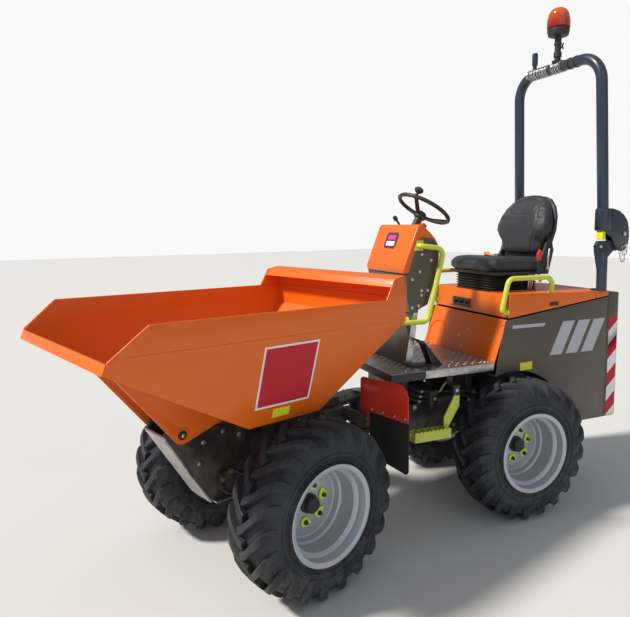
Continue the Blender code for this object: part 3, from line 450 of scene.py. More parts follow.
def dressed(node, body, finish, edge=0.002, segments=2, name=None):
    """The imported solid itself, with its edges rounded as pressed or cut metal has them."""
    bm = bmesh.new()
    bm.from_mesh(frame["nodes"][node].data)
    bmesh.ops.remove_doubles(bm, verts=bm.verts, dist=2e-5)
    bmesh.ops.dissolve_limit(bm, angle_limit=math.radians(0.6), verts=bm.verts, edges=bm.edges)
    finishes = finish if isinstance(finish, (list, tuple)) else [finish]
    return piece(name or f"{node}_body", bm, Matrix.Identity(4), body, finishes, node, edge, segments)


print("shape helpers ready")

# %% [markdown]
# ## Bolts
# The machine is held together by dozens of hexagon bolts. They are one Geometry Nodes tree: a point
# with a facing direction goes in, a washer and a hexagon head come out. The size is a named input,
# and the instances are realized so that they export as plain mesh.


# %% Bolt tree
def bolt_tree():
    tree = bpy.data.node_groups.new("bolt_heads", "GeometryNodeTree")
    face = tree.interface
    face.new_socket("Geometry", in_out="INPUT", socket_type="NodeSocketGeometry")
    face.new_socket("Across", in_out="INPUT", socket_type="NodeSocketFloat")
    face.new_socket("Finish", in_out="INPUT", socket_type="NodeSocketMaterial")
    face.new_socket("Geometry", in_out="OUTPUT", socket_type="NodeSocketGeometry")
    add, link = tree.nodes.new, tree.links.new
    start, end = add("NodeGroupInput"), add("NodeGroupOutput")
    parts = add("GeometryNodeJoinGeometry")
    for sides, radius, depth, lift in ((6, 0.5, 0.40, 0.30), (20, 0.68, 0.12, 0.06), (14, 0.30, 0.20, 0.54)):
        turned_part = add("GeometryNodeMeshCylinder")
        turned_part.inputs["Vertices"].default_value = sides
        for socket, share in (("Radius", radius), ("Depth", depth)):
            scale = add("ShaderNodeMath")
            scale.operation = "MULTIPLY"
            scale.inputs[1].default_value = share
            link(start.outputs["Across"], scale.inputs[0])
            link(scale.outputs[0], turned_part.inputs[socket])
        height = add("ShaderNodeMath")
        height.operation = "MULTIPLY"
        height.inputs[1].default_value = lift
        link(start.outputs["Across"], height.inputs[0])
        up = add("ShaderNodeCombineXYZ")
        link(height.outputs[0], up.inputs["Z"])
        raised = add("GeometryNodeTransform")
        link(turned_part.outputs["Mesh"], raised.inputs["Geometry"])
        link(up.outputs[0], raised.inputs["Translation"])
        link(raised.outputs[0], parts.inputs[0])
    spots = add("GeometryNodeInstanceOnPoints")
    link(start.outputs["Geometry"], spots.inputs["Points"])
    link(parts.outputs[0], spots.inputs["Instance"])
    facing = add("GeometryNodeInputNamedAttribute")
    facing.data_type = "FLOAT_VECTOR"
    facing.inputs["Name"].default_value = "facing"
    align = add("FunctionNodeAlignRotationToVector")
    align.axis = "Z"
    link(facing.outputs["Attribute"], align.inputs["Vector"])
    link(align.outputs[0], spots.inputs["Rotation"])
    real = add("GeometryNodeRealizeInstances")
    coat = add("GeometryNodeSetMaterial")
    link(spots.outputs[0], real.inputs[0])
    link(real.outputs[0], coat.inputs["Geometry"])
    link(start.outputs["Finish"], coat.inputs["Material"])
    link(coat.outputs[0], end.inputs[0])
    return tree


bolt_heads = bolt_tree()


def inputs_of(tree):
    return {item.name: item.identifier for item in tree.interface.items_tree if item.in_out == "INPUT"}


def grown(obj, tree, values):
    """Run a tree on an object and keep its result as a plain mesh."""
    step = obj.modifiers.new("grow", "NODES")
    step.node_group = tree
    names = inputs_of(tree)
    for key, value in values.items():
        step[names[key]] = value
    return bake(obj)


def bolts(name, spots, across, half, body, finish=None):
    """Bolt heads at (place, facing) pairs given in a half's own frame."""
    mesh = bpy.data.meshes.new(name)
    mesh.from_pydata([half @ Vector(p) for p, _ in spots], [], [])
    facing = mesh.attributes.new("facing", "FLOAT_VECTOR", "POINT")
    turn_only = half.to_3x3()
    facing.data.foreach_set("vector", [v for _, d in spots for v in turn_only @ Vector(d).normalized()])
    obj = bpy.data.objects.new(name, mesh)
    bpy.context.collection.objects.link(obj)
    grown(obj, bolt_heads, {"Across": across, "Finish": finish or zinc})
    obj.data.shade_flat()
    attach(obj, body)
    return obj


print("bolt tree has", len(bolt_heads.nodes), "nodes")

# %% [markdown]
# ## Hoses
# Two hydraulic hoses leave the tipping cylinder's valve on the near side of the nose and loop down
# and back under the frame. Each one goes back into the machine at both ends.


# %% Hoses
def hose(name, corners, radius, bend, body, half):
    points = bent(corners, bend, 8)
    dense = [points[0]]
    for a, b in zip(points, points[1:]):
        parts = max(1, round((b - a).length / 0.03))
        dense += [a.lerp(b, (i + 1) / parts) for i in range(parts)]
    bm = bmesh.new()
    swept(bm, dense, radius, 14)
    made = piece(name, bm, half, body, [hose_rubber])
    return made


hose("tip_hose_near", [(0.100, -0.205, 0.497), (0.128, -0.190, 0.497), (0.128, -0.150, 0.470), (0.128, -0.175, 0.412),
                       (0.128, -0.240, 0.412), (0.100, -0.262, 0.440)], 0.008, 0.020, "front_frame", FRONT)
hose("steer_hose_low", [(-0.100, 0.250, 0.560), (-0.118, 0.250, 0.560), (-0.118, 0.150, 0.520),
                        (-0.118, 0.000, 0.500), (-0.118, -0.120, 0.520), (-0.100, -0.150, 0.535)], 0.008, 0.016,
                        "front_frame", FRONT)
print("hoses made")

# %% [markdown]
# ## Tyres
# A driving tyre has long slanted lugs, staggered left and right, that stand an inch proud of the
# casing and run over the shoulder onto the wall. One lug is a row of cross-sections from the middle
# line outwards, its top on one curve and its root on the casing. It is repeated by rotation.

# %% Tyre casing and lugs
LUGS_PER_SIDE = 21
CASING = [(0.0, 0.3530), (0.030, 0.3525), (0.060, 0.3505), (0.085, 0.3460), (0.102, 0.3370), (0.1135, 0.3210),
          (0.1210, 0.2980), (0.1240, 0.2720), (0.1215, 0.2500), (0.1150, 0.2310), (0.1120, 0.2240),
          (0.1190, 0.2190), (0.1200, 0.2140), (0.1150, 0.2000)]
LUG_TOP = [(-0.014, 0.3795), (0.012, 0.3800), (0.042, 0.3795), (0.072, 0.3780), (0.096, 0.3725), (0.1120, 0.3600),
           (0.1215, 0.3320), (0.1265, 0.3140), (0.1280, 0.2990), (0.1255, 0.2850)]
LUG_ROOT = [(-0.012, 0.3480), (0.012, 0.3480), (0.042, 0.3475), (0.070, 0.3450), (0.090, 0.3380), (0.103, 0.3270),
            (0.112, 0.3110), (0.117, 0.2960), (0.1195, 0.2840), (0.1200, 0.2760)]
LUG_TRAIL = [0.03, 0.0, -0.075, -0.150, -0.215, -0.262, -0.290, -0.303, -0.310, -0.314]
LUG_HALF = [0.0155, 0.0165, 0.0170, 0.0175, 0.0185, 0.0200, 0.0210, 0.0205, 0.0180, 0.0130]


def one_lug(bm, side, angle):
    rings = []
    for (tx, tr), (rx, rr), trail, half in zip(LUG_TOP, LUG_ROOT, LUG_TRAIL, LUG_HALF):
        ring = []
        for x, r, reach in ((rx, rr, -half - 0.006), (tx - 0.002, tr - 0.003, -half - 0.001), (tx, tr, -half + 0.003),
                            (tx, tr, half - 0.003), (tx - 0.002, tr - 0.003, half + 0.001), (rx, rr, half + 0.006)):
            at = angle + trail + reach / r
            ring.append(bm.verts.new((side * x, -r * math.sin(at), r * math.cos(at))))
        rings.append(ring)
    bm.faces.new(rings[0])
    bm.faces.new(rings[-1][::-1])
    for a, b in zip(rings, rings[1:]):
        for k in range(6):
            j = (k + 1) % 6
            bm.faces.new((a[k], b[k], b[j], a[j]))


def tyre(end, side_name, half, centre):
    bm = bmesh.new()
    section = CASING + [(0.0950, 0.1965)]
    section = section + [(-a, r) for a, r in reversed(section)][:-1]
    turned(bm, section, 96, (0, 0, 0), (1, 0, 0))
    for ring_radius, ring_x in ((0.262, 0.1236), (0.239, 0.1185)):
        for side in (1.0, -1.0):
            bead = [(side * (ring_x - 0.002), ring_radius - 0.003), (side * (ring_x + 0.0022), ring_radius - 0.001),
                    (side * (ring_x + 0.0022), ring_radius + 0.001), (side * (ring_x - 0.002), ring_radius + 0.003)]
            turned(bm, bead, 96, (0, 0, 0), (1, 0, 0))
    step = 2 * math.pi / LUGS_PER_SIDE
    for i in range(LUGS_PER_SIDE):
        one_lug(bm, 1.0, i * step)
        one_lug(bm, -1.0, (i + 0.5) * step)
    bm.transform(Matrix.Translation(centre))
    return piece(f"tyre_{end}_{side_name}_tread", bm, half, f"wheel_{end}_{side_name}", [rubber],
                 f"tyre_{end}_{side_name}", smooth=24.0)


print("lug has", len(LUG_TOP), "sections")

# %% [markdown]
# ## Rims and hubs
# The rim is one pressing: a rolled flange, the bead seat, a deep well, and a disc set far inboard.
# A turned profile gives all of it. Around the stub there is a black cap and a ring of nuts, each
# with a lime pointer that shows whether it has moved.

# %% Rims
RIM = [(0.1268, 0.2100), (0.1270, 0.2130), (0.1262, 0.2148), (0.1240, 0.2152), (0.1222, 0.2140), (0.1214, 0.1978),
       (0.1000, 0.1954), (0.0860, 0.1940), (0.0760, 0.1760), (-0.0600, 0.1760), (-0.0800, 0.1940),
       (-0.1214, 0.1978), (-0.1224, 0.2148), (-0.1268, 0.2148), (-0.1268, 0.2100), (-0.1250, 0.1930),
       (-0.0830, 0.1885), (-0.0640, 0.1710), (-0.0480, 0.1700), (-0.0500, 0.1520), (-0.0470, 0.1400),
       (-0.0450, 0.0700), (-0.0450, 0.0), (-0.0385, 0.0), (-0.0385, 0.0700), (-0.0385, 0.1360),
       (-0.0405, 0.1430), (-0.0380, 0.1500), (-0.0300, 0.1545), (-0.0160, 0.1590), (-0.0140, 0.1640),
       (-0.0100, 0.1700), (0.0100, 0.1710), (0.0690, 0.1712), (0.0790, 0.1800), (0.0830, 0.1886),
       (0.1010, 0.1896), (0.1060, 0.1925), (0.1090, 0.1900), (0.1215, 0.1938), (0.1245, 0.2020)]
STUDS = 6
STUD_CIRCLE = 0.080


def wheel_centre(side_name):
    return Vector((0.429 * dict(SIDES)[side_name], 0.0, 0.380))


def rim(end, side_name, half, centre):
    side = dict(SIDES)[side_name]
    bm = bmesh.new()
    turned(bm, [(side * a, r) for a, r in RIM], 72, centre, (1, 0, 0))
    valve_at = centre + Vector((side * -0.012, 0.166 * math.cos(2.2), 0.166 * math.sin(2.2)))
    bar(bm, valve_at, valve_at + Vector((side * 0.040, -0.010, 0.002)), 0.0042, 10, 1, 0.001)
    piece(f"rim_{end}_{side_name}_dish", bm, half, f"wheel_{end}_{side_name}", [wheel_paint, black_plastic],
          f"rim_{end}_{side_name}", smooth=28.0)
    bm = bmesh.new()
    face = centre.x - side * 0.0385
    cap = [(0.0, 0.0), (0.0, 0.044), (0.010, 0.043), (0.013, 0.037), (0.034, 0.036), (0.040, 0.032), (0.042, 0.0)]
    turned(bm, cap, 32, (face, centre.y, centre.z), (side, 0, 0), 0)
    for i in range(STUDS):
        a = 2 * math.pi * i / STUDS + 0.22
        at = Vector((face, centre.y + STUD_CIRCLE * math.cos(a), centre.z + STUD_CIRCLE * math.sin(a)))
        out = Vector((side, 0, 0))
        turned(bm, [(0, 0), (0, 0.0155), (0.004, 0.0155), (0.006, 0.0125), (0.006, 0.0)], 20, at, out, 1)
        turned(bm, [(0.003, 0.0105), (0.003, 0.0225), (0.008, 0.0215), (0.011, 0.0135), (0.011, 0.0105)], 24, at, out,
               2)
        tip_way = Vector((0, -math.sin(a), math.cos(a)))
        across = Vector((0, math.cos(a), math.sin(a)))
        corners = [at + tip_way * 0.010 + across * 0.018, at + tip_way * 0.036, at + tip_way * 0.010 - across * 0.018]
        low = [bm.verts.new(c + out * 0.0035) for c in corners]
        high = [bm.verts.new(c + out * 0.0070) for c in corners]
        faces = [bm.faces.new(low), bm.faces.new(high[::-1])]
        faces += [bm.faces.new((low[k], low[(k + 1) % 3], high[(k + 1) % 3], high[k])) for k in range(3)]
        for part in faces:
            part.material_index = 2
        turned(bm, [(0.004, 0.0), (0.004, 0.0118), (0.017, 0.0118), (0.019, 0.0100), (0.019, 0.0)], 6, at, out, 1)
        bar(bm, at + out * 0.018, at + out * 0.026, 0.0058, 12, 1)
    piece(f"hub_{end}_{side_name}", bm, half, f"wheel_{end}_{side_name}",
          [black_plastic, chassis_paint, lime_plastic],
          smooth=30.0)


for side_name, _ in SIDES:
    for end, half, along in (("front", FRONT, 0.0), ("rear", REAR, 0.778)):
        middle = wheel_centre(side_name) + Vector((0.0, along, 0.0))
        tyre(end, side_name, half, middle)
        rim(end, side_name, half, middle)
print("four wheels made")

# %% [markdown]
# ## Axles
# Each axle is a cast housing with a round differential in the middle and ribs.


# %% Axles
def axle(end, half, along, body):
    bm = bmesh.new()
    profile = [(0.0, 0.089), (0.030, 0.088), (0.052, 0.078), (0.066, 0.056), (0.090, 0.047), (0.200, 0.043),
               (0.300, 0.043),
               (0.325, 0.050), (0.345, 0.069), (0.383, 0.069), (0.383, 0.0)]
    full = profile + [(-a, r) for a, r in reversed(profile[1:])]
    turned(bm, full, 40, (0.0, along, 0.380), (1, 0, 0))
    for x in (-0.052, -0.018, 0.018, 0.052):
        turned(bm, [(x - 0.003, 0.06), (x - 0.003, 0.0895), (x + 0.003, 0.0895), (x + 0.003, 0.06)], 32,
               (0, along, 0.380), (1, 0, 0))
    piece(f"{end}_axle_housing", bm, half, body, [chassis_paint], f"{end}_axle", smooth=30.0)
    spots = [((x, along + math.cos(a) * 0.078, 0.380 + math.sin(a) * 0.078), (0, math.cos(a), math.sin(a)))
             for x in (-0.060, 0.060) for a in (2 * math.pi * k / 10 + 0.3 for k in range(10))]
    bolts(f"{end}_axle_bolts", spots, 0.012, half, body, zinc)


axle("front", FRONT, 0.0, "front_frame")
axle("rear", REAR, 0.778, "rear_frame")
print("axles made")

# %% [markdown]
# ## Skip
# The tub is 5 mm sheet folded and welded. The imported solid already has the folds, so it is used as
# it is with its edges softened. The rear spill guard is a separate folded plate welded between two
# gussets, and it catches the light, so it gets a real folded lip and weld beads along its foot.

# %% Skip
dressed("skip", "skip", orange_paint, 0.0022, 3, "skip_tub")


def weld(bm, points, radius=0.0032):
    """A weld bead: a thin swept section that swells and shrinks along its run."""
    dense = []
    for a, b in zip(points, points[1:]):
        a, b = Vector(a), Vector(b)
        parts = max(2, round((b - a).length / 0.006))
        dense += [a.lerp(b, i / parts) for i in range(parts)]
    dense.append(Vector(points[-1]))
    normal = (dense[1] - dense[0]).orthogonal().normalized()
    rings = []
    for i, spot in enumerate(dense):
        ahead = (dense[min(i + 1, len(dense) - 1)] - dense[max(i - 1, 0)]).normalized()
        normal = (normal - ahead * normal.dot(ahead)).normalized()
        side = ahead.cross(normal)
        swell = radius * (1.0 + 0.18 * math.sin(i * 2.1))
        rings.append([bm.verts.new(spot + (normal * math.cos(a) + side * math.sin(a)) * swell)
                      for a in (2 * math.pi * k / 6 for k in range(6))])
    bm.faces.new(rings[0][::-1])
    bm.faces.new(rings[-1])
    for a, b in zip(rings, rings[1:]):
        for k in range(6):
            bm.faces.new((a[k], a[(k + 1) % 6], b[(k + 1) % 6], b[k]))


seams = bmesh.new()
for _, side in SIDES:
    weld(seams, [(side * 0.4915, 0.372, 1.243), (side * 0.4880, 0.494, 1.243)])
    weld(seams, [(side * 0.469, -0.806, 1.1525), (side * 0.4925, 0.495, 1.1405)])
    weld(seams, [(side * 0.4500, -0.874, 1.1045), (side * 0.3640, -0.285, 0.7765)])
    weld(seams, [(side * 0.1265, -0.300, 0.7795), (side * 0.1265, -0.725, 1.0120)])
    weld(seams, [(side * 0.1115, -0.300, 0.7795), (side * 0.1115, -0.725, 1.0120)])
    weld(seams, [(side * 0.3640, -0.285, 0.7765), (side * 0.3640, 0.079, 0.7765)])
    weld(seams, [(side * 0.3640, 0.079, 0.7765), (side * 0.4890, 0.499, 1.1360)])
weld(seams, [(-0.486, 0.500, 1.243), (0.486, 0.500, 1.243)])
piece("skip_welds", seams, FRONT, "skip", [orange_paint], smooth=60.0)

ledge = bmesh.new()
fold = [(0.4985, 1.3465), (0.4985, 1.3495), (0.4350, 1.3395), (0.4100, 1.3020), (0.4125, 1.3005), (0.4365, 1.3365)]
plate(ledge, fold, "X", -0.4870, 0.4870)
piece("skip_spill_ledge", ledge, FRONT, "skip", [orange_paint], edge=0.0012)

hem = bmesh.new()
for _, side in SIDES:
    swept(hem, [(side * 0.4535, -0.868, 1.1395), (side * 0.4752, -0.734, 1.2505)], 0.0045, 10)
    swept(hem, [(side * 0.4752, -0.734, 1.2505), (side * 0.4955, 0.376, 1.2415)], 0.0045, 10)
    swept(hem, [(side * 0.4955, 0.376, 1.2415), (side * 0.4925, 0.431, 1.3375)], 0.0040, 10)
piece("skip_hem", hem, FRONT, "skip", [orange_paint], smooth=50.0)

bush = bmesh.new()
for _, side in SIDES:
    ring = [(0.0, 0.0232), (0.0, 0.0300), (0.0035, 0.0300), (0.0035, 0.0232)]
    turned(bush, ring, 32, (side * 0.1245, -0.445, 0.722), (side, 0, 0))
piece("skip_hinge_bushes", bush, FRONT, "skip", [orange_paint])
frame["nodes"]["skip_hinge_pin"].data.materials.clear()
frame["nodes"]["skip_hinge_pin"].data.materials.append(chassis_paint)
nipple = bmesh.new()
for _, side in SIDES:
    turned(nipple, [(0, 0), (0, 0.0085), (0.0022, 0.0085), (0.0040, 0.005), (0.0046, 0.0)], 16,
           (side * 0.1209, -0.441, 0.716), (side, 0, 0))
piece("skip_pin_nipples", nipple, FRONT, "front_frame", [brass])
print("skip made")

# %% [markdown]
# The sign on the skip's side is a blank square with a white border, set on the side's own slope. Its
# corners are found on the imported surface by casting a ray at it, so it lies on the sheet.


# %% Signs that lie on a surface
def lay_on(node, half, outline, axis, start, name, body, finish, lift=0.0006, cuts=6):
    """A thin sticker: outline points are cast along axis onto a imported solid."""
    data = frame["nodes"][node].data
    solid = BVHTree.FromPolygons([v.co for v in data.vertices], [tuple(f.vertices) for f in data.polygons])
    toward = (half.to_3x3() @ Vector(axis)).normalized()
    grid = bmesh.new()
    (ax, ay), (bx, by), (cx, cy), (dx, dy) = outline
    rows = []
    for i in range(cuts + 1):
        row = []
        for j in range(cuts + 1):
            u, v = j / cuts, i / cuts
            p = ((1 - u) * (1 - v) * ax + u * (1 - v) * bx + u * v * cx + (1 - u) * v * dx)
            q = ((1 - u) * (1 - v) * ay + u * (1 - v) * by + u * v * cy + (1 - u) * v * dy)
            spot = {0: (start, p, q), 1: (p, start, q), 2: (p, q, start)}[max(range(3), key=lambda k: abs(axis[k]))]
            at = solid.ray_cast(half @ Vector(spot), toward)[0]
            if at is None:
                raise RuntimeError(f"{name} misses {node} at {spot}")
            row.append(grid.verts.new(at - toward * lift))
        rows.append(row)
    for a, b in zip(rows, rows[1:]):
        for j in range(cuts):
            grid.faces.new((a[j], a[j + 1], b[j + 1], b[j]))
    wall = bmesh.ops.extrude_face_region(grid, geom=grid.faces[:])
    bmesh.ops.translate(grid, verts=[v for v in wall["geom"] if isinstance(v, bmesh.types.BMVert)],
                        vec=toward * (lift * 0.7))
    return piece(name, grid, Matrix.Identity(4), body, [finish], smooth=20.0)


def square(y0, z0, y1, z1, inset=0.0, shear=0.0):
    return [(y0 + inset, z0 + inset), (y1 - inset, z0 + inset + shear), (y1 - inset, z1 - inset + shear),
            (y0 + inset, z1 - inset)]


for side_name, side in SIDES:
    cast = (-side, 0.0, 0.0)
    lay_on("skip", FRONT, square(-0.273, 0.848, -0.002, 1.114), cast, side * 0.60, f"skip_sign_border_{side_name}",
           "skip", sign_white, 0.0008)
    lay_on("skip", FRONT, square(-0.273, 0.848, -0.002, 1.114, 0.009), cast, side * 0.60, f"skip_sign_{side_name}",
           "skip", sign_red, 0.0014)
    lay_on("skip", FRONT, square(-0.181, 0.795, -0.095, 0.835), cast, side * 0.60, f"skip_notice_{side_name}",
           "skip", sign_yellow, 0.0008)
print("skip signs laid")

# %% [markdown]
# ## Front chassis
# Two tall side plates with the nose between them. The bright front plate is worn by rubble. Bolts,
# a valve block and its fittings sit on the near plate behind it.

# %% Front chassis
dressed("front_frame", "front_frame", chassis_paint, 0.0018, 2)
dressed("nose_plate", "front_frame", nose_steel, 0.0015, 2)
fittings = bmesh.new()
for _, side in SIDES:
    near = side * 0.085
    box(fittings, sorted((near, near + side * 0.020)), (-0.262, -0.190), (0.430, 0.500), 0)
    bar(fittings, (near + side * 0.004, -0.211, 0.499), (near + side * 0.034, -0.211, 0.499), 0.011, 6, 1, 0.001)
    bar(fittings, (near + side * 0.004, -0.253, 0.474), (near + side * 0.032, -0.253, 0.474), 0.010, 6, 1, 0.001)
    bar(fittings, (near + side * 0.004, -0.250, 0.440), (near + side * 0.030, -0.250, 0.440), 0.012, 6, 2, 0.001)
    box(fittings, sorted((near, near + side * 0.030)), (-0.289, -0.205), (0.374, 0.381), 3)
    box(fittings, sorted((near, near + side * 0.012)), (0.060, 0.180), (0.560, 0.660), 0)
piece("nose_fittings", fittings, FRONT, "front_frame", [chassis_paint, brass, hoop_paint, nose_steel],
      edge=0.001)
spots = []
for _, side in SIDES:
    near = side * 0.085
    spots += [((near, -0.233, 0.678), (side, 0, 0)), ((near, -0.151, 0.645), (side, 0, 0)),
              ((near, -0.330, 0.650), (side, 0, 0)),
              ((near, -0.350, 0.560), (side, 0, 0)), ((near, 0.180, 0.640), (side, 0, 0)),
              ((near, 0.090, 0.640), (side, 0, 0)),
              ((near, 0.230, 0.610), (side, 0, 0)), ((near, -0.070, 0.450), (side, 0, 0)),
              ((near, 0.070, 0.455), (side, 0, 0))]
bolts("chassis_bolts_front", spots, 0.017, FRONT, "front_frame", zinc)
dressed("pivot_pin", "front_frame", zinc, 0.0015)
dressed("centre_block", "centre_block", chassis_paint, 0.002)
for name in ("tip_cylinder", "steering_cylinder"):
    body = name.replace("_cylinder", "")
    dressed(f"{name}_barrel", f"{body}_barrel", chassis_paint, 0.0015)
    dressed(f"{name}_rod", f"{body}_rod", chrome, 0.001)
print("front chassis made")

# %% [markdown]
# ## Front mudguards
# A painted plate stands behind each front wheel, with a rubber flap clamped under its lower edge by
# a row of bolts.

# %% Mudguards
for side_name, side in SIDES:
    outline = [(0.245, 0.605), (0.300, 0.605), (0.300, 0.672), (0.560, 0.668), (0.560, 0.790), (0.556, 0.806),
               (0.545, 0.822),
               (0.528, 0.836), (0.505, 0.845), (0.262, 0.838), (0.248, 0.831), (0.245, 0.820)]
    bm = bmesh.new()
    plate(bm, [(side * x, z) for x, z in outline], "Y", 0.4555, 0.4612)
    piece(f"mudguard_{side_name}_plate", bm, FRONT, "front_frame", [guard_paint],
          f"mudguard_{side_name}", 0.0012)
    bm = bmesh.new()
    rows = 14
    low = [(0.3055 + 0.2545 * i / rows, 0.452 - 0.034 * i / rows) for i in range(rows + 1)]
    round_corner = arc((0.538, 0.441), 0.022, -90, 0, 6)
    outline = low[:-2] + round_corner + [(0.560, 0.700), (0.3055, 0.700)]
    plate(bm, [(side * x, z) for x, z in outline], "Y", 0.4614, 0.4672)
    piece(f"mud_flap_{side_name}", bm, FRONT, "front_frame", [flap_rubber], edge=0.001)
    spots = [((side * x, 0.4553, 0.686), (0, -1, 0)) for x in (0.325, 0.400, 0.475, 0.540)]
    spots += [((side * x, 0.4553, 0.632), (0, -1, 0)) for x in (0.258, 0.285)]
    bolts(f"mudguard_bolts_{side_name}", spots, 0.012, FRONT, "front_frame", zinc)
print("mudguards made")

# %% [markdown]
# ## Rear chassis
# The two rails and cross plates are mostly in shadow under the floor. Hydraulic pipes and a filter
# run along the near rail, where they can be reached from the step.

# %% Rear chassis
dressed("rear_frame", "rear_frame", chassis_paint, 0.002)
dressed("engine_block", "rear_frame", cast_iron, 0.012, 3)
pipes = bmesh.new()
for k, (y, z) in enumerate(((0.40, 0.660), (0.40, 0.690), (0.40, 0.720))):
    lane = 0.225 + 0.012 * k
    swept(pipes, bent([(0.205, 0.205, z), (lane, 0.240, z - 0.02), (lane, 0.560, z - 0.05), (0.185, 0.585, z - 0.05)],
                      0.012), 0.007, 10, 1)
    bar(pipes, (lane, 0.244, z - 0.0205), (lane, 0.262, z - 0.022), 0.010, 6, 0, 0.001)
turned(pipes, [(0, 0), (0, 0.030), (0.004, 0.034), (0.090, 0.034), (0.096, 0.026), (0.096, 0)], 28,
       (0.255, 0.330, 0.640), (0, 1, 0), 1)
box(pipes, (0.200, 0.262), (0.300, 0.345), (0.600, 0.690), 2)
bar(pipes, (0.262, 0.318, 0.660), (0.285, 0.318, 0.660), 0.010, 6, 3, 0.001)
swept(pipes, bent([(0.262, 0.330, 0.700), (0.300, 0.330, 0.700), (0.318, 0.350, 0.745), (0.318, 0.372, 0.765)],
                  0.010), 0.0045, 10, 0)
bar(pipes, (0.280, 0.250, 0.762), (0.280, 0.250, 0.797), 0.008, 6, 0, 0.001)
box(pipes, (-0.330, -0.205), (0.240, 0.560), (0.560, 0.780), 2)
piece("valve_and_pipes", pipes, REAR, "rear_frame", [zinc, black_plastic, chassis_paint, brass],
      edge=0.0015)
spots = [((0.2005, y, z), (1, 0, 0)) for y, z in ((0.24, 0.47), (0.24, 0.60), (0.50, 0.47), (0.60, 0.60),
                                                  (1.20, 0.50), (1.38, 0.50))]
spots += [((0.080 * s, 0.1595, z), (0, -1, 0)) for s in (1, -1) for z in (0.49, 0.62, 0.76)]
spots += [((x, 0.1645, 0.817), (0, -1, 0)) for x in (-0.31, -0.20, 0.20, 0.31)]
bolts("chassis_bolts_rear", spots, 0.017, REAR, "rear_frame", zinc)
print("rear chassis made")

# %% [markdown]
# ## Driver's floor
# Chequer plate: bright sheet with raised lozenges in two directions. The lozenges are a second
# Geometry Nodes tree that scatters one flattened cone over a grid and turns every other one.


# %% Floor
def lozenge_tree():
    tree = bpy.data.node_groups.new("lozenges", "GeometryNodeTree")
    face = tree.interface
    face.new_socket("Geometry", in_out="INPUT", socket_type="NodeSocketGeometry")
    face.new_socket("Length", in_out="INPUT", socket_type="NodeSocketFloat")
    face.new_socket("Height", in_out="INPUT", socket_type="NodeSocketFloat")
    face.new_socket("Finish", in_out="INPUT", socket_type="NodeSocketMaterial")
    face.new_socket("Geometry", in_out="OUTPUT", socket_type="NodeSocketGeometry")
    add, link = tree.nodes.new, tree.links.new
    start, end = add("NodeGroupInput"), add("NodeGroupOutput")
    cone = add("GeometryNodeMeshCone")
    cone.inputs["Vertices"].default_value = 8
    cone.inputs["Radius Top"].default_value = 0.45
    cone.inputs["Radius Bottom"].default_value = 1.0
    cone.inputs["Depth"].default_value = 1.0
    size = add("ShaderNodeCombineXYZ")
    half = add("ShaderNodeMath")
    half.operation = "MULTIPLY"
    half.inputs[1].default_value = 0.5
    thin = add("ShaderNodeMath")
    thin.operation = "MULTIPLY"
    thin.inputs[1].default_value = 0.14
    link(start.outputs["Length"], half.inputs[0])
    link(start.outputs["Length"], thin.inputs[0])
    link(half.outputs[0], size.inputs["X"])
    link(thin.outputs[0], size.inputs["Y"])
    link(start.outputs["Height"], size.inputs["Z"])
    shaped = add("GeometryNodeTransform")
    link(cone.outputs["Mesh"], shaped.inputs["Geometry"])
    link(size.outputs[0], shaped.inputs["Scale"])
    spots = add("GeometryNodeInstanceOnPoints")
    link(start.outputs["Geometry"], spots.inputs["Points"])
    link(shaped.outputs[0], spots.inputs["Instance"])
    heading = add("GeometryNodeInputNamedAttribute")
    heading.data_type = "FLOAT"
    heading.inputs["Name"].default_value = "heading"
    turn_node = add("ShaderNodeCombineXYZ")
    link(heading.outputs["Attribute"], turn_node.inputs["Z"])
    link(turn_node.outputs[0], spots.inputs["Rotation"])
    real = add("GeometryNodeRealizeInstances")
    coat = add("GeometryNodeSetMaterial")
    link(spots.outputs[0], real.inputs[0])
    link(real.outputs[0], coat.inputs["Geometry"])
    link(start.outputs["Finish"], coat.inputs["Material"])
    link(coat.outputs[0], end.inputs[0])
    return tree


lozenges = lozenge_tree()


def chequer(name, x_range, y_range, z, pitch, half, body, finish):
    columns = int((x_range[1] - x_range[0]) / pitch)
    rows = int((y_range[1] - y_range[0]) / pitch)
    points, headings = [], []
    for i in range(columns + 1):
        for j in range(rows + 1):
            points.append(half @ Vector((x_range[0] + i * pitch, y_range[0] + j * pitch, z)))
            headings.append(rest_steer + math.radians(45.0 if (i + j) % 2 else -45.0))
    mesh = bpy.data.meshes.new(name)
    mesh.from_pydata(points, [], [])
    mesh.attributes.new("heading", "FLOAT", "POINT").data.foreach_set("value", headings)
    obj = bpy.data.objects.new(name, mesh)
    bpy.context.collection.objects.link(obj)
    grown(obj, lozenges, {"Length": pitch * 0.95, "Height": 0.0022, "Finish": finish})
    obj.data.shade_flat()
    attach(obj, body)
    return obj


dressed("platform", "rear_frame", floor_plate, 0.0018)
chequer("floor_lozenges", (-0.348, 0.348), (0.030, 0.628), 0.8425, 0.026, REAR, "rear_frame", floor_plate)
skirt = bmesh.new()
for _, side in SIDES:
    plate(skirt, [(0.003, 0.799), (0.205, 0.799), (0.205, 0.8405), (0.003, 0.8405)], "X",
          *sorted((side * 0.3652, side * 0.3668)))
plate(skirt, [(-0.366, 0.799), (0.366, 0.799), (0.366, 0.8405), (-0.366, 0.8405)], "Y", 0.0030, 0.0046)
piece("floor_front_trim", skirt, REAR, "rear_frame", [chassis_paint], edge=0.0005)
bolts("floor_bolts", [((x, y, 0.8423), (0, 0, 1)) for x in (-0.335, 0.335) for y in (0.10, 0.36, 0.60)], 0.014, REAR,
      "rear_frame", zinc)
print("floor made")

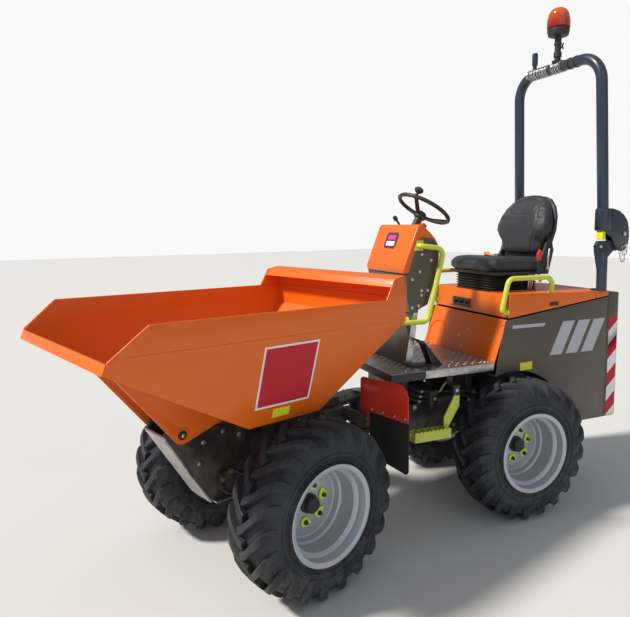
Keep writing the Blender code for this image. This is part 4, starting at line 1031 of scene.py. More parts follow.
# %% [markdown]
# ## Body panels
# The seat box, engine cover and side panels are 2 to 3 mm sheet with folded edges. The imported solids
# give the panels; their edge radii are larger where a sheet is folded than where it is cut. The seat
# box has a pressed arch that clears the swing of a knee, and the cover has a recessed panel.

# %% Seat box and cover
dressed("seat_box_panel", "rear_frame", orange_paint, 0.0012)
dressed("engine_cover", "engine_cover", orange_paint, 0.009, 4)
dressed("rear_deck", "rear_frame", orange_paint, 0.004, 3)


def lean_y(z):
    """The seat box front leans back: its Y for a height."""
    return 0.641 + (z - 0.8205) * (0.728 - 0.641) / (1.070 - 0.8205)


arch_bead = bmesh.new()
left, right, top, foot = -0.335, -0.172, 0.990, 0.832
middle = (left + right) / 2.0
reach = (right - left) / 2.0
line = [(left, foot)] + [(left, foot + 0.02 + i * (top - foot - 0.02 - reach * 0.75) / 3) for i in range(4)]
line += [(middle - reach * math.cos(a), top - reach * 0.75 + 0.75 * reach * math.sin(a))
         for a in (math.pi * i / 12 for i in range(1, 12))]
line += [(right, foot + 0.02 + i * (top - foot - 0.02 - reach * 0.75) / 3)
         for i in range(3, -1, -1)] + [(right, foot)]
swept(arch_bead, [(x, lean_y(z) - 0.0005, z) for x, z in line], 0.006, 12)
piece("seat_box_arch", arch_bead, REAR, "rear_frame", [orange_paint], smooth=60.0)
spots = [((x, lean_y(z) - 0.0002, z), (0, -0.944, 0.33)) for x,
         z in ((0.055, 0.981), (0.034, 0.878), (0.300, 0.936), (-0.02, 0.930), (0.335, 0.850), (0.335, 1.040))]
bolts("seat_box_screws", spots, 0.010, REAR, "rear_frame", zinc)

recess = bmesh.new()
box(recess, (-0.160, 0.022), (0.7285, 0.7330), (1.098, 1.152), 0)
box(recess, (-0.168, 0.030), (0.7300, 0.7330), (1.092, 1.158), 1)
for x in (-0.125, -0.070, -0.015):
    bar(recess, (x, 0.729, 1.125), (x, 0.712, 1.125), 0.010, 20, 0, 0.002)
bar(recess, (0.004, 0.729, 1.140), (0.004, 0.722, 1.140), 0.005, 14, 2, 0.001)
piece("cover_switch_panel", recess, REAR, "engine_cover", [black_plastic, orange_paint, red_lens],
      edge=0.0008)
latch = bmesh.new()
for _, side in SIDES:
    box(latch, sorted((side * 0.3655, side * 0.372)), (1.020, 1.080), (1.135, 1.155), 0)
piece("cover_latches", latch, REAR, "engine_cover", [black_plastic], edge=0.002)
print("seat box and cover made")

# %% [markdown]
# The dark side panels carry a plain silver band, a yellow notice and, at the tail, red and white
# warning stripes. The band and stripes are cut from thin film and laid on the sheet.

# %% Side panels and tail
for side_name, side in SIDES:
    dressed(f"side_panel_{side_name}", "rear_frame", panel_paint, 0.0015)
    x = sorted((side * 0.3652, side * 0.3660))
    film = bmesh.new()
    for foot, wide in ((1.030, 0.090), (1.150, 0.090), (1.270, 0.090)):
        plate(film, [(foot, 0.850), (foot + wide, 0.850), (foot + wide + 0.095, 1.040), (foot + 0.095, 1.040)], "X",
              *x, 0)
    plate(film, [(0.758, 1.022), (0.985, 1.022), (0.994, 1.040), (0.758, 1.040)], "X", *x, 0)
    piece(f"side_band_{side_name}", film, REAR, "rear_frame", [sign_silver], smooth=1.0)
    film = bmesh.new()
    plate(film, [(0.819, 0.781), (0.905, 0.784), (0.905, 0.828), (0.819, 0.825)], "X", *x, 0)
    piece(f"side_notice_{side_name}", film, REAR, "rear_frame", [sign_yellow], smooth=1.0)
    film = bmesh.new()
    low, high, near, far, pitch, slant = 0.441, 1.040, 1.489, 1.559, 0.086, 0.062
    bottom, kind = low, 0
    while bottom < high - 1e-6:
        top = min(bottom + pitch, high)
        plate(film, [(near, bottom), (far, min(bottom + slant, high)), (far, min(top + slant, high)), (near, top)]
              if bottom + slant < high - 0.002 else [(near, bottom), (far, high), (near, top)], "X", *x, kind)
        bottom, kind = top, 1 - kind
    plate(film, [(near, low), (far, low), (far, low + slant)], "X", *x, 1)
    piece(f"tail_stripes_{side_name}", film, REAR, "rear_frame", [sign_red, sign_white], smooth=1.0)
dressed("rear_panel", "rear_frame", panel_paint, 0.006, 3)

tail = bmesh.new()
face = 1.566
for _, side in SIDES:
    box(tail, sorted((side * 0.230, side * 0.330)), (face - 0.004, face + 0.022), (0.860, 0.960), 0)
    bar(tail, (side * 0.255, face + 0.020, 0.910), (side * 0.255, face + 0.030, 0.910), 0.020, 24, 1, 0.003)
    bar(tail, (side * 0.305, face + 0.020, 0.910), (side * 0.305, face + 0.030, 0.910), 0.020, 24, 2, 0.003)
for i in range(9):
    z = 0.640 + i * 0.024
    plate(tail, [(face - 0.002, z), (face + 0.010, z - 0.006), (face + 0.011, z - 0.002), (face - 0.002, z + 0.006)],
          "X", -0.170, 0.170, 0)
box(tail, (-0.060, 0.060), (face - 0.004, face + 0.010), (0.480, 0.560), 3)
for z in (0.488, 0.540):
    box(tail, (-0.035, 0.035), (face + 0.008, face + 0.034), (z, z + 0.012), 3)
bar(tail, (0.0, face + 0.021, 0.476), (0.0, face + 0.021, 0.572), 0.009, 20, 4, 0.002)
piece("tail_fittings", tail, REAR, "rear_frame", [black_plastic, red_lens, amber_lens, chassis_paint, zinc],
      edge=0.001)
bolts("tail_bolts", [((x, 1.566, z), (0, 1, 0)) for x in (-0.33, 0.33) for z in (0.50, 0.75, 1.02, 1.14)], 0.012,
      REAR, "rear_frame", zinc)
print("side panels and tail made")

# %% [markdown]
# ## Seat
# A suspension seat: a rubber bellows on rails, a cushion and a backrest of foam under one vinyl skin,
# and a plastic shell behind. The foam shapes are blown up a little by Cloth pressure from a smooth
# form, which rounds them and pulls their edges in as a glued skin does. Grooves come afterwards.


# %% Cushion helpers
def closed_loft(bm, sections):
    rings = [[bm.verts.new(p) for p in ring] for ring in sections]
    count = len(rings[0])
    bm.faces.new(rings[0][::-1])
    bm.faces.new(rings[-1])
    for a, b in zip(rings, rings[1:]):
        for k in range(count):
            j = (k + 1) % count
            bm.faces.new((a[k], a[j], b[j], b[k]))


def puffed(obj, voxel, pressure, cap, frames=20):
    """Remesh, inflate with Cloth under pressure, keep each point within cap of its start."""
    grid = obj.modifiers.new("grid", "REMESH")
    grid.mode = "VOXEL"
    grid.voxel_size = voxel
    bake(obj)
    start = [v.co.copy() for v in obj.data.vertices]
    cloth = obj.modifiers.new("cloth", "CLOTH")
    cloth.settings.use_pressure = True
    cloth.settings.uniform_pressure_force = pressure
    cloth.settings.effector_weights.gravity = 0.0
    cloth.settings.quality = 4
    cloth.settings.mass = 0.3
    cloth.settings.tension_stiffness = 12.0
    cloth.settings.compression_stiffness = 12.0
    cloth.point_cache.frame_start = 1
    cloth.point_cache.frame_end = frames
    scene = bpy.context.scene
    for step in range(1, frames + 1):
        scene.frame_set(step)
    shaped = obj.evaluated_get(bpy.context.evaluated_depsgraph_get()).to_mesh()
    moved = [v.co.copy() for v in shaped.vertices]
    obj.modifiers.clear()
    for v, a, b in zip(obj.data.vertices, start, moved):
        way = b - a
        v.co = a + way * min(1.0, cap / way.length) if way.length > 1e-9 else a
    scene.frame_set(1)
    ease = obj.modifiers.new("ease", "SMOOTH")
    ease.factor = 0.5
    ease.iterations = 6
    return bake(obj)


def groove(obj, half, path, facing, width, depth):
    """Press a stitched groove into the face that looks along facing, near a path."""
    inverse = half.inverted()
    line = [Vector(p) for p in path]
    out = Vector(facing).normalized()
    turn_only = half.to_3x3()
    for v in obj.data.vertices:
        at = inverse @ v.co
        if (turn_only.transposed() @ v.normal).dot(out) < 0.25:
            continue
        nearest = 1e9
        for a, b in zip(line, line[1:]):
            run = b - a
            flat = (at - a) - out * (at - a).dot(out)
            run_flat = run - out * run.dot(out)
            t = max(0.0, min(1.0, flat.dot(run_flat) / max(run_flat.length_squared, 1e-12)))
            nearest = min(nearest, (flat - run_flat * t).length)
        v.co -= (turn_only @ out) * (depth * math.exp(-(nearest / width) ** 2))


def soft(name, bm, half, body, finish, replaces, voxel, cap, grooves=()):
    obj = piece(name, bm, half, body, [finish], replaces, smooth=180.0)
    puffed(obj, voxel, 4.0, cap)
    for path, facing, width, depth in grooves:
        groove(obj, half, path, facing, width, depth)
    fine = obj.modifiers.new("fine", "SUBSURF")
    fine.levels = 1
    fine.render_levels = 1
    bake(obj)
    obj.data.shade_smooth()
    return obj


print("cushion helpers ready")

# %% [markdown]
# The cushion has raised side bolsters and a waterfall front edge. The backrest is narrow at the
# waist, widest at the shoulders and rounded on top, with a pressed headrest outline.

# %% Cushion and backrest
SEAT_BASE_TOP = 1.205 + 0.1103


def cushion_section(y, half_width, low, high, bolster):
    ring = []
    for k in range(28):
        a = 2 * math.pi * k / 28
        ca, sa = math.cos(a), math.sin(a)
        x = half_width * math.copysign(abs(ca) ** 0.42, ca)
        mid, tall = (low + high) / 2.0, (high - low) / 2.0
        z = mid + tall * math.copysign(abs(sa) ** 0.5, sa)
        if sa > 0:
            z += bolster * (abs(x) / half_width) ** 4 - bolster * 0.45
        ring.append((x, y, z))
    return ring


base = SEAT_BASE_TOP
rows = [(0.718, 0.150, base + 0.026, base + 0.052, 0.0), (0.727, 0.205, base + 0.014, base + 0.066, 0.004),
        (0.755, 0.222, base + 0.006, base + 0.080, 0.010), (0.850, 0.228, base + 0.004, base + 0.084, 0.016),
        (0.950, 0.228, base + 0.004, base + 0.080, 0.018), (1.040, 0.226, base + 0.004, base + 0.077, 0.016),
        (1.085, 0.218, base + 0.006, base + 0.074, 0.008), (1.106, 0.200, base + 0.014, base + 0.066, 0.0)]
bm = bmesh.new()
closed_loft(bm, [cushion_section(*row) for row in rows])
top = base + 0.07
pan_line = [(0.150, 1.090, top), (0.158, 0.950, top), (0.158, 0.830, top), (0.120, 0.778, top), (0.0, 0.770, top),
            (-0.120, 0.778, top), (-0.158, 0.830, top), (-0.158, 0.950, top), (-0.150, 1.090, top)]
soft("seat_cushion_foam", bm, REAR, "engine_cover", vinyl, "seat_cushion", 0.006, 0.010,
     [(pan_line, (0, 0, 1), 0.006, 0.006), ([(-0.150, 0.930, top), (0.150, 0.930, top)], (0, 0, 1), 0.005, 0.004)])


def back_section(z, half_width, front, rear, dish):
    ring = []
    for k in range(32):
        a = 2 * math.pi * k / 32
        ca, sa = math.cos(a), math.sin(a)
        x = half_width * math.copysign(abs(ca) ** 0.5, ca)
        mid, deep = (front + rear) / 2.0, (rear - front) / 2.0
        y = mid - deep * math.copysign(abs(sa) ** 0.6, sa)
        if sa > 0:
            y += dish * (1.0 - (abs(x) / half_width) ** 2.5)
        ring.append((x, y, z))
    return ring


rows = [(1.416, 0.130, 1.100, 1.150, 0.0), (1.424, 0.160, 1.090, 1.162, 0.004), (1.450, 0.172, 1.084, 1.172, 0.010),
        (1.490, 0.180, 1.076, 1.182, 0.020), (1.525, 0.200, 1.062, 1.190, 0.032), (1.560, 0.218, 1.056, 1.198, 0.040),
        (1.600, 0.219, 1.064, 1.204, 0.038), (1.650, 0.209, 1.086, 1.212, 0.028), (1.700, 0.187, 1.122, 1.218, 0.016),
        (1.740, 0.152, 1.158, 1.222, 0.006), (1.766, 0.112, 1.174, 1.226, 0.003), (1.778, 0.060, 1.188, 1.222, 0.0)]
bm = bmesh.new()
closed_loft(bm, [back_section(*row) for row in rows])
outline = [(0.112, 1.0, 1.430), (0.126, 1.0, 1.500), (0.160, 1.0, 1.560), (0.158, 1.0, 1.620), (0.135, 1.0, 1.690),
           (0.095, 1.0, 1.735),
           (0.0, 1.0, 1.750), (-0.095, 1.0, 1.735), (-0.135, 1.0, 1.690), (-0.158, 1.0, 1.620), (-0.160, 1.0, 1.560),
           (-0.126, 1.0, 1.500), (-0.112, 1.0, 1.430)]
head_line = [(0.120, 1.0, 1.700), (0.104, 1.0, 1.668), (0.070, 1.0, 1.655), (-0.070, 1.0, 1.655),
             (-0.104, 1.0, 1.668), (-0.120, 1.0, 1.700)]
soft("seat_back_foam", bm, REAR, "engine_cover", vinyl, "seat_back", 0.006, 0.008,
     [(outline, (0, -1, 0), 0.006, 0.006), (head_line, (0, -1, 0), 0.005, 0.005)])
print("seat foams made")

# %% [markdown]
# Behind and below the foam: a moulded shell, the bellows, slide rails, the recliner's lever, the
# belt with its buckle, and the toothed height lever that shows on the near side.

# %% Seat hardware
hull = bmesh.new()
shell_rows = [(1.300, 0.180, 1.118, 1.150), (1.400, 0.188, 1.130, 1.182), (1.470, 0.196, 1.150, 1.196),
              (1.560, 0.214, 1.170, 1.212),
              (1.640, 0.208, 1.184, 1.226), (1.700, 0.182, 1.198, 1.236), (1.745, 0.138, 1.212, 1.241),
              (1.765, 0.080, 1.218, 1.238)]
closed_loft(hull, [back_section(z, w, f, r, 0.0) for z, w, f, r in shell_rows])
for _, side in SIDES:
    plate(hull, [(1.060, 1.300), (1.160, 1.300), (1.196, 1.440), (1.176, 1.520), (1.150, 1.520), (1.118, 1.430),
                 (1.060, 1.340)], "X",
          *sorted((side * 0.182, side * 0.198)), 0)
box(hull, (-0.215, 0.215), (0.742, 1.100), (SEAT_BASE_TOP - 0.012, SEAT_BASE_TOP + 0.004), 0)
piece("seat_shell", hull, REAR, "engine_cover", [black_plastic], edge=0.0015, smooth=40.0)

bellows = bmesh.new()
levels = []
for i in range(13):
    z = 1.209 + i * 0.0075
    out = 0.0 if i % 2 else 0.012
    w, front, back = 0.172 + out, 0.764 - out, 1.090 + out
    ring = []
    for cx, cy, a0 in ((w - 0.03, front + 0.03, -90), (w - 0.03, back - 0.03, 0), (-w + 0.03, back - 0.03, 90),
                       (-w + 0.03, front + 0.03, 180)):
        ring += [(x, y, z) for x, y in arc((cx, cy), 0.03, a0, a0 + 90, 4)]
    levels.append(ring)
closed_loft(bellows, levels)
for _, side in SIDES:
    box(bellows, sorted((side * 0.150, side * 0.176)), (0.765, 1.110), (1.2056, 1.2120), 1)
piece("seat_bellows", bellows, REAR, "engine_cover", [flap_rubber, zinc], "seat_base", smooth=25.0)

trim = bmesh.new()
swept(trim, bent([(0.236, 0.985, 1.300), (0.244, 0.985, 1.300), (0.244, 0.960, 1.305), (0.244, 0.800, 1.312)], 0.008,
                 4), 0.005, 10, 0)
plate(trim, [(1.040, 1.385), (1.062, 1.385), (1.072, 1.440), (1.052, 1.448), (1.036, 1.420)], "X", 0.228, 0.240, 1)
box(trim, (0.229, 0.239), (1.046, 1.060), (1.300, 1.388), 2)
swept(trim, bent([(0.232, 1.120, 1.330), (0.240, 1.112, 1.380), (0.236, 1.128, 1.452)], 0.02, 4), 0.0055, 10, 0)
for k in range(3):
    bar(trim, (0.200, 1.005 + 0.014 * k, 1.214), (0.203, 1.008 + 0.014 * k, 1.312), 0.0035, 8, 0)
bar(trim, (0.198, 1.140, 1.335), (0.212, 1.140, 1.335), 0.012, 6, 0, 0.001)
bar(trim, (0.198, 1.095, 1.262), (0.210, 1.095, 1.262), 0.009, 6, 0, 0.001)
piece("seat_hardware", trim, REAR, "engine_cover", [zinc, red_plastic, black_plastic], edge=0.001)

belt = bmesh.new()
lap = [(-0.236, 1.060, 1.330), (-0.230, 1.040, 1.395), (-0.200, 1.010, 1.418), (-0.160, 0.985, 1.408),
       (-0.110, 0.975, 1.404), (-0.070, 0.990, 1.404)]
for (ax, ay, az), (bx, by, bz) in zip(lap, lap[1:]):
    low = [belt.verts.new(p) for p in ((ax, ay - 0.022, az), (ax, ay + 0.022, az), (bx, by + 0.022, bz),
                                       (bx, by - 0.022, bz))]
    belt.faces.new(low)
bmesh.ops.remove_doubles(belt, verts=belt.verts, dist=1e-5)
thick = bmesh.ops.extrude_face_region(belt, geom=belt.faces[:])
bmesh.ops.translate(belt, verts=[v for v in thick["geom"] if isinstance(v, bmesh.types.BMVert)], vec=(0, 0, 0.0025))
box(belt, (-0.080, -0.045), (0.974, 1.008), (1.402, 1.412), 1)
piece("lap_belt", belt, REAR, "engine_cover", [belt_web, zinc], smooth=50.0)
print("seat hardware made")

# %% [markdown]
# ## Rails and steps
# Rails are lime-painted tube, bent cold, so each corner keeps a large radius. The steps are a
# folded tread with a toothed edge hung from a bracket.

# %% Rails
for side_name, side in SIDES:
    x = side * 0.345
    rail = bmesh.new()
    run = bent([(x, 0.7325, 1.112), (x, 0.697, 1.112), (x, 0.742, 1.296)], 0.018, 6)[:-1]
    run += bent([(x, 0.697, 1.112), (x, 0.742, 1.296), (x, 1.050, 1.296), (x, 1.050, 1.2055)], 0.045, 8)[1:]
    swept(rail, run, 0.014, 20)
    for end, toward in (((x, 0.7326, 1.112), (0, -1, 0)), ((x, 1.050, 1.2055), (0, 0, 1))):
        turned(rail, [(0, 0), (0, 0.022), (0.003, 0.022), (0.005, 0.018), (0.005, 0)], 24, end, toward)
    piece(f"grab_rail_{side_name}_tube", rail, REAR, "engine_cover", [lime_paint],
          f"grab_rail_{side_name}", smooth=40.0)
    x = side * 0.244
    rail = bmesh.new()
    hand = [(side * 0.2212, 0.240, 1.478), (x, 0.240, 1.478), (x, 0.385, 1.462), (x, 0.288, 1.076), (x, 0.150, 1.076),
            (side * 0.180, 0.150, 1.076), (side * 0.180, 0.204, 1.076)]
    run = bent(hand[:3], 0.018, 6)[:-1] + bent(hand[1:5], 0.040, 8)[1:-1] + bent(hand[3:], 0.022, 6)[1:]
    swept(rail, run, 0.014, 20)
    plate(rail, [(0.214, 1.452), (0.268, 1.452), (0.268, 1.506), (0.232, 1.506)], "X",
          *sorted((side * 0.2203, side * 0.2245)))
    turned(rail, [(0, 0), (0, 0.022), (0.004, 0.022), (0.004, 0)], 24, (side * 0.180, 0.2035, 1.076), (0, -1, 0))
    piece(f"hand_rail_{side_name}_tube", rail, REAR, "rear_frame", [lime_paint],
          f"hand_rail_{side_name}", smooth=40.0)

# %% [markdown]
# The step's tread is an open tray: two folded side walls whose upper edges are cut into teeth, so
# that a wet boot holds.

# %% Steps
for side_name, side in SIDES:
    step = bmesh.new()
    hanger = [(0.345, 0.760), (0.345, 0.700), (0.288, 0.600), (0.288, 0.520), (0.300, 0.520), (0.382, 0.652),
              (0.382, 0.760)]
    plate(step, hanger, "X", *sorted((side * 0.407, side * 0.413)))
    box(step, sorted((side * 0.345, side * 0.413)), (0.345, 0.382), (0.754, 0.760), 1)
    box(step, sorted((side * 0.345, side * 0.351)), (0.345, 0.382), (0.754, 0.8365), 1)
    plate(step, [(0.3435, 0.7610), (0.3435, 0.7080), (0.3835, 0.7080), (0.3835, 0.7610)], "X",
          *sorted((side * 0.4055, side * 0.4145)), 1)
    teeth = 9
    reach = 0.214 / teeth
    for wall in (0.352, 0.396):
        box(step, sorted((side * wall, side * (wall + 0.004))), (0.096, 0.310), (0.508, 0.536))
    for wall in (0.444,):
        edge_line = [(0.096, 0.508), (0.310, 0.508)]
        for i in range(teeth - 1, -1, -1):
            y = 0.096 + i * reach
            edge_line += [(y + reach, 0.548), (y + reach * 0.72, 0.556), (y + reach * 0.28, 0.556)]
        edge_line += [(0.096, 0.548)]
        plate(step, edge_line, "X", *sorted((side * wall, side * (wall + 0.004))))
    box(step, sorted((side * 0.352, side * 0.448)), (0.096, 0.310), (0.503, 0.508))
    for k in range(6):
        y = 0.106 + k * 0.039
        box(step, sorted((side * 0.352, side * 0.448)), (y, y + 0.004), (0.508, 0.543))
    piece(f"step_{side_name}_tread", step, REAR, "rear_frame", [lime_paint, chassis_paint],
          f"step_{side_name}", edge=0.0008)
    bolts(f"step_bolts_{side_name}", [((side * 0.4135, 0.364, z), (side, 0, 0)) for z in (0.680, 0.735)], 0.012, REAR,
          "rear_frame", zinc)
print("rails and steps made")

# %% [markdown]
# ## Console
# A folded cowl on a narrow column. Its front carries a blank plate, its rear slope a small cluster,
# and dark side plates with bolts close its flanks.

# %% Console
dressed("console_cowl", "rear_frame", orange_paint, 0.006, 4)
dressed("console_column", "rear_frame", panel_paint, 0.0015)
edge_strip = bmesh.new()
for _, side in SIDES:
    plate(edge_strip, [(0.1695, 0.846), (0.2115, 0.846), (0.2445, 1.122), (0.2155, 1.122)], "X",
          *sorted((side * 0.2152, side * 0.2162)))
piece("column_edge_plates", edge_strip, REAR, "rear_frame", [floor_plate])

dash = bmesh.new()
face_up = Vector((0.0, 0.239 - 0.154, 1.582 - 1.357)).normalized()
outward = Vector((0.0, -face_up.z, face_up.y))


def on_cowl(u, v, lift):
    """A point on the cowl's sloping front: u across, v up from its lower edge."""
    return Vector((u, 0.154, 1.357)) + face_up * v + outward * lift


def cowl_tile(bm, u0, u1, v0, v1, low, high, slot, cut=0.0):
    corners = [(u0 + cut, v0), (u1 - cut, v0), (u1, v0 + cut), (u1, v1 - cut), (u1 - cut, v1), (u0 + cut, v1),
               (u0, v1 - cut), (u0, v0 + cut)]
    if cut <= 0:
        corners = [(u0, v0), (u1, v0), (u1, v1), (u0, v1)]
    a = [bm.verts.new(on_cowl(u, v, low)) for u, v in corners]
    b = [bm.verts.new(on_cowl(u, v, high)) for u, v in corners]
    faces = [bm.faces.new(a), bm.faces.new(b[::-1])]
    faces += [bm.faces.new((a[k], a[(k + 1) % len(a)], b[(k + 1) % len(a)], b[k])) for k in range(len(a))]
    for part in faces:
        part.material_index = slot


cowl_tile(dash, -0.084, 0.050, 0.108, 0.202, 0.0003, 0.0012, 0, 0.016)
cowl_tile(dash, -0.062, 0.030, 0.124, 0.150, 0.0012, 0.0020, 1)
cowl_tile(dash, -0.058, 0.026, 0.160, 0.186, 0.0012, 0.0020, 2)
piece("cowl_plate", dash, REAR, "rear_frame", [sign_dark, sign_white, sign_pink], smooth=1.0)
screws = [(on_cowl(u, v, 0.0002), outward) for u in (-0.195, 0.195)
          for v in (0.016, 0.225)] + [(on_cowl(0.0, 0.012, 0.0002), outward)]
bolts("cowl_screws", screws, 0.008, REAR, "rear_frame", zinc)
flank = []
for _, side in SIDES:
    flank += [((side * 0.2202, y, z), (side, 0, 0)) for y, z in ((0.262, 1.432), (0.250, 1.340), (0.262, 1.240),
            (0.262, 1.215), (0.245, 1.160),
                                                                 (0.205, 1.300), (0.320, 1.400), (0.300, 1.240),
                                                                         (0.205, 1.150))]
bolts("column_bolts", flank, 0.011, REAR, "rear_frame", zinc)

knobs = bmesh.new()
bar(knobs, (0.165, 0.290, 1.5695), (0.165, 0.298, 1.580), 0.010, 20, 0, 0.002)
turned(knobs, [(0, 0), (0, 0.017), (0.006, 0.020), (0.014, 0.019), (0.018, 0.010), (0.018, 0)], 24,
       (0.165, 0.297, 1.579), (0, 0.62, 0.78), 1)
bar(knobs, (-0.020, 0.262, 1.588), (-0.030, 0.248, 1.616), 0.006, 12, 0, 0.001)
turned(knobs, [(0, 0), (0, 0.009), (0.008, 0.013), (0.024, 0.012), (0.030, 0.006), (0.030, 0)], 16,
       (-0.030, 0.248, 1.612), (-0.2, -0.45, 0.9), 0)
slope = Vector((0.0, 0.352 - 0.314, 1.513 - 1.550)).normalized()
slope_out = Vector((0.0, -slope.z, slope.y))
for x in (-0.120, 0.120):
    middle = Vector((x, 0.333, 1.5315)) + slope_out * 0.0005
    turned(knobs, [(0, 0), (0, 0.024), (0.004, 0.025), (0.006, 0.022), (0.004, 0.020), (0.004, 0)], 28, middle,
           slope_out, 0)
    turned(knobs, [(0.0042, 0), (0.0042, 0.0195), (0.0050, 0.0195), (0.0050, 0)], 28, middle, slope_out, 2)
piece("console_controls", knobs, REAR, "rear_frame", [black_plastic, red_plastic, sign_white],
      smooth=35.0)
boot = bmesh.new()
lean_way = Vector((0.0, math.sin(math.radians(30.75)), math.cos(math.radians(30.75))))
foot = Vector((0.0, 0.408, 1.679)) - lean_way * 0.062
swept(boot, [foot - lean_way * 0.004, foot - lean_way * 0.030], 0.0225, 20)
turned(boot, [(0, 0), (0, 0.042), (0.010, 0.040), (0.030, 0.027), (0.034, 0.0)], 28, foot - lean_way * 0.098,
       lean_way, 0)
piece("column_boot", boot, REAR, "rear_frame", [black_plastic], smooth=40.0)
frame["nodes"]["steering_column"].data.materials.clear()
frame["nodes"]["steering_column"].data.materials.append(black_plastic)

foot_plate = bmesh.new()
treadle = [(0.204, 0.994), (0.240, 0.978), (0.352, 0.8480), (0.344, 0.8440), (0.236, 0.968), (0.210, 0.980)]
plate(foot_plate, treadle, "X", 0.222, 0.292)
plate(foot_plate, [(0.164, 0.8425), (0.356, 0.8425), (0.356, 0.852), (0.180, 0.858), (0.164, 0.856)], "X", 0.224,
      0.290)
for x in (0.226, 0.282):
    plate(foot_plate, [(0.292, 0.850), (0.342, 0.850), (0.262, 0.946), (0.252, 0.946)], "X", x, x + 0.006)
for i in range(7):
    t = (i + 0.5) / 7
    y, z = 0.240 + t * 0.106, 0.979 - t * 0.122
    plate(foot_plate, [(y - 0.002, z - 0.002), (y + 0.003, z - 0.006), (y + 0.006, z - 0.002),
                       (y + 0.001, z + 0.003)], "X", 0.226, 0.288)
piece("drive_pedal_treadle", foot_plate, REAR, "rear_frame", [black_plastic], "drive_pedal", 0.0012)
print("console made")

# %% [markdown]
# ## Steering wheel
# A moulded grip on three pressed spokes that dip to the hub, with a spinner knob on the forward rim.

# %% Steering wheel
centre = Vector((0.0, 0.408, 1.679))
across = Vector((1.0, 0.0, 0.0))
forward = lean_way.cross(across)
KNOB_BEARING = math.radians(-55.0)
helm = bmesh.new()
grip = [(0.0115 * math.sin(2 * math.pi * i / 14), 0.152 + 0.0110 * math.cos(2 * math.pi * i / 14)) for i in range(14)]
turned(helm, grip, 72, centre, lean_way, 0)
for i in range(12):
    a = 2 * math.pi * i / 12 + 0.1
    at = centre + (across * math.cos(a) + forward * math.sin(a)) * 0.152
    turned(helm, [(0, 0.0118), (0.0016, 0.0124), (0.0032, 0.0118), (0.0016, 0.0105)], 14, at,
           across * -math.sin(a) + forward * math.cos(a), 0)
hub = [(-0.062, 0.0), (-0.062, 0.032), (-0.050, 0.036), (-0.036, 0.034), (-0.026, 0.026), (-0.022, 0.022),
       (-0.021, 0.0)]
turned(helm, hub, 36, centre, lean_way, 0)
for i in range(3):
    a = KNOB_BEARING + math.radians(120 * i)
    way = across * math.cos(a) + forward * math.sin(a)
    side = lean_way.cross(way)
    rows = []
    for reach, drop, wide, thick in ((0.020, 0.048, 0.017, 0.006), (0.060, 0.038, 0.014, 0.005),
                                     (0.105, 0.018, 0.013, 0.005), (0.150, 0.000, 0.012, 0.006)):
        mid = centre + way * reach - lean_way * drop
        rows.append([mid + side * wide * u + lean_way * thick * v for u,
                     v in ((-1, -0.3), (-0.7, -1), (0.7, -1), (1, -0.3), (1, 0.3), (0.7, 1), (-0.7, 1), (-1, 0.3))])
    closed_loft(helm, rows)
knob = [(0.008, 0), (0.008, 0.012), (0.012, 0.012), (0.014, 0.008), (0.020, 0.008), (0.026, 0.017), (0.034, 0.0245),
        (0.043, 0.0260), (0.050, 0.0215), (0.055, 0.012), (0.0565, 0.0)]
turned(helm, knob, 28, centre + (across * math.cos(KNOB_BEARING) + forward * math.sin(KNOB_BEARING)) * 0.152,
       lean_way, 0)
piece("steering_wheel_rim", helm, REAR, "steering_wheel", [grip_plastic], "steering_wheel",
      smooth=38.0)
print("steering wheel made")

# %% [markdown]
# ## Roll-over hoop
# One bent tube in two bolted brackets. It folds back about a pin for low doorways, so each foot has
# cheeks, a hinge pin, a front stop bolt and a locking pin on a short chain.

# %% Hoop
HINGE = Vector((0.0, 1.560, 1.540))
BAR_Y = 1.364
HOOP_HALF = 0.360
CHEEK_NEAR = 0.0165
CHEEK_FAR = 0.0255
tube_path = bent([(HOOP_HALF, 1.415, 1.560), (0.345, BAR_Y, 2.562), (-0.345, BAR_Y, 2.562),
                  (-HOOP_HALF, 1.415, 1.560)], 0.150, 14)
hoop = bmesh.new()
swept(hoop, tube_path, 0.032, 32)
cheek = [(1.372, 1.560), (1.372, 1.676), (1.384, 1.688), (1.462, 1.687), (1.515, 1.674), (1.553, 1.652),
         (1.585, 1.618), (1.598, 1.575), (1.6022, 1.520),
         (1.597, 1.480), (1.575, 1.446), (1.545, 1.436), (1.510, 1.442), (1.482, 1.478), (1.462, 1.512),
         (1.425, 1.545)]
for _, side in SIDES:
    for sign in (1.0, -1.0):
        plate(hoop, cheek, "X", *sorted((side * HOOP_HALF + sign * CHEEK_NEAR, side * HOOP_HALF + sign * CHEEK_FAR)))
    swept(hoop, [(side * HOOP_HALF, 1.4152, 1.5605), (side * HOOP_HALF, 1.4098, 1.6855)], 0.041, 28)
    box(hoop, sorted((side * HOOP_HALF - CHEEK_FAR, side * HOOP_HALF + CHEEK_FAR)), (1.440, 1.452), (1.585, 1.675))
turned(hoop, [(0, 0), (0, 0.009), (0.030, 0.009), (0.030, 0.013), (0.060, 0.013), (0.062, 0.0185), (0.132, 0.0185),
              (0.138, 0.015), (0.140, 0)], 20,
       (-0.200, BAR_Y, 2.562), (0, 0, 1))
piece("hoop_tube", hoop, REAR, "rops_hoop", [hoop_paint], "rops_hoop", edge=0.0012, smooth=36.0)
for side_name, side in SIDES:
    dressed(f"rops_post_{side_name}", "rear_frame", hoop_paint, 0.0018)
pins = bmesh.new()
stay = bmesh.new()
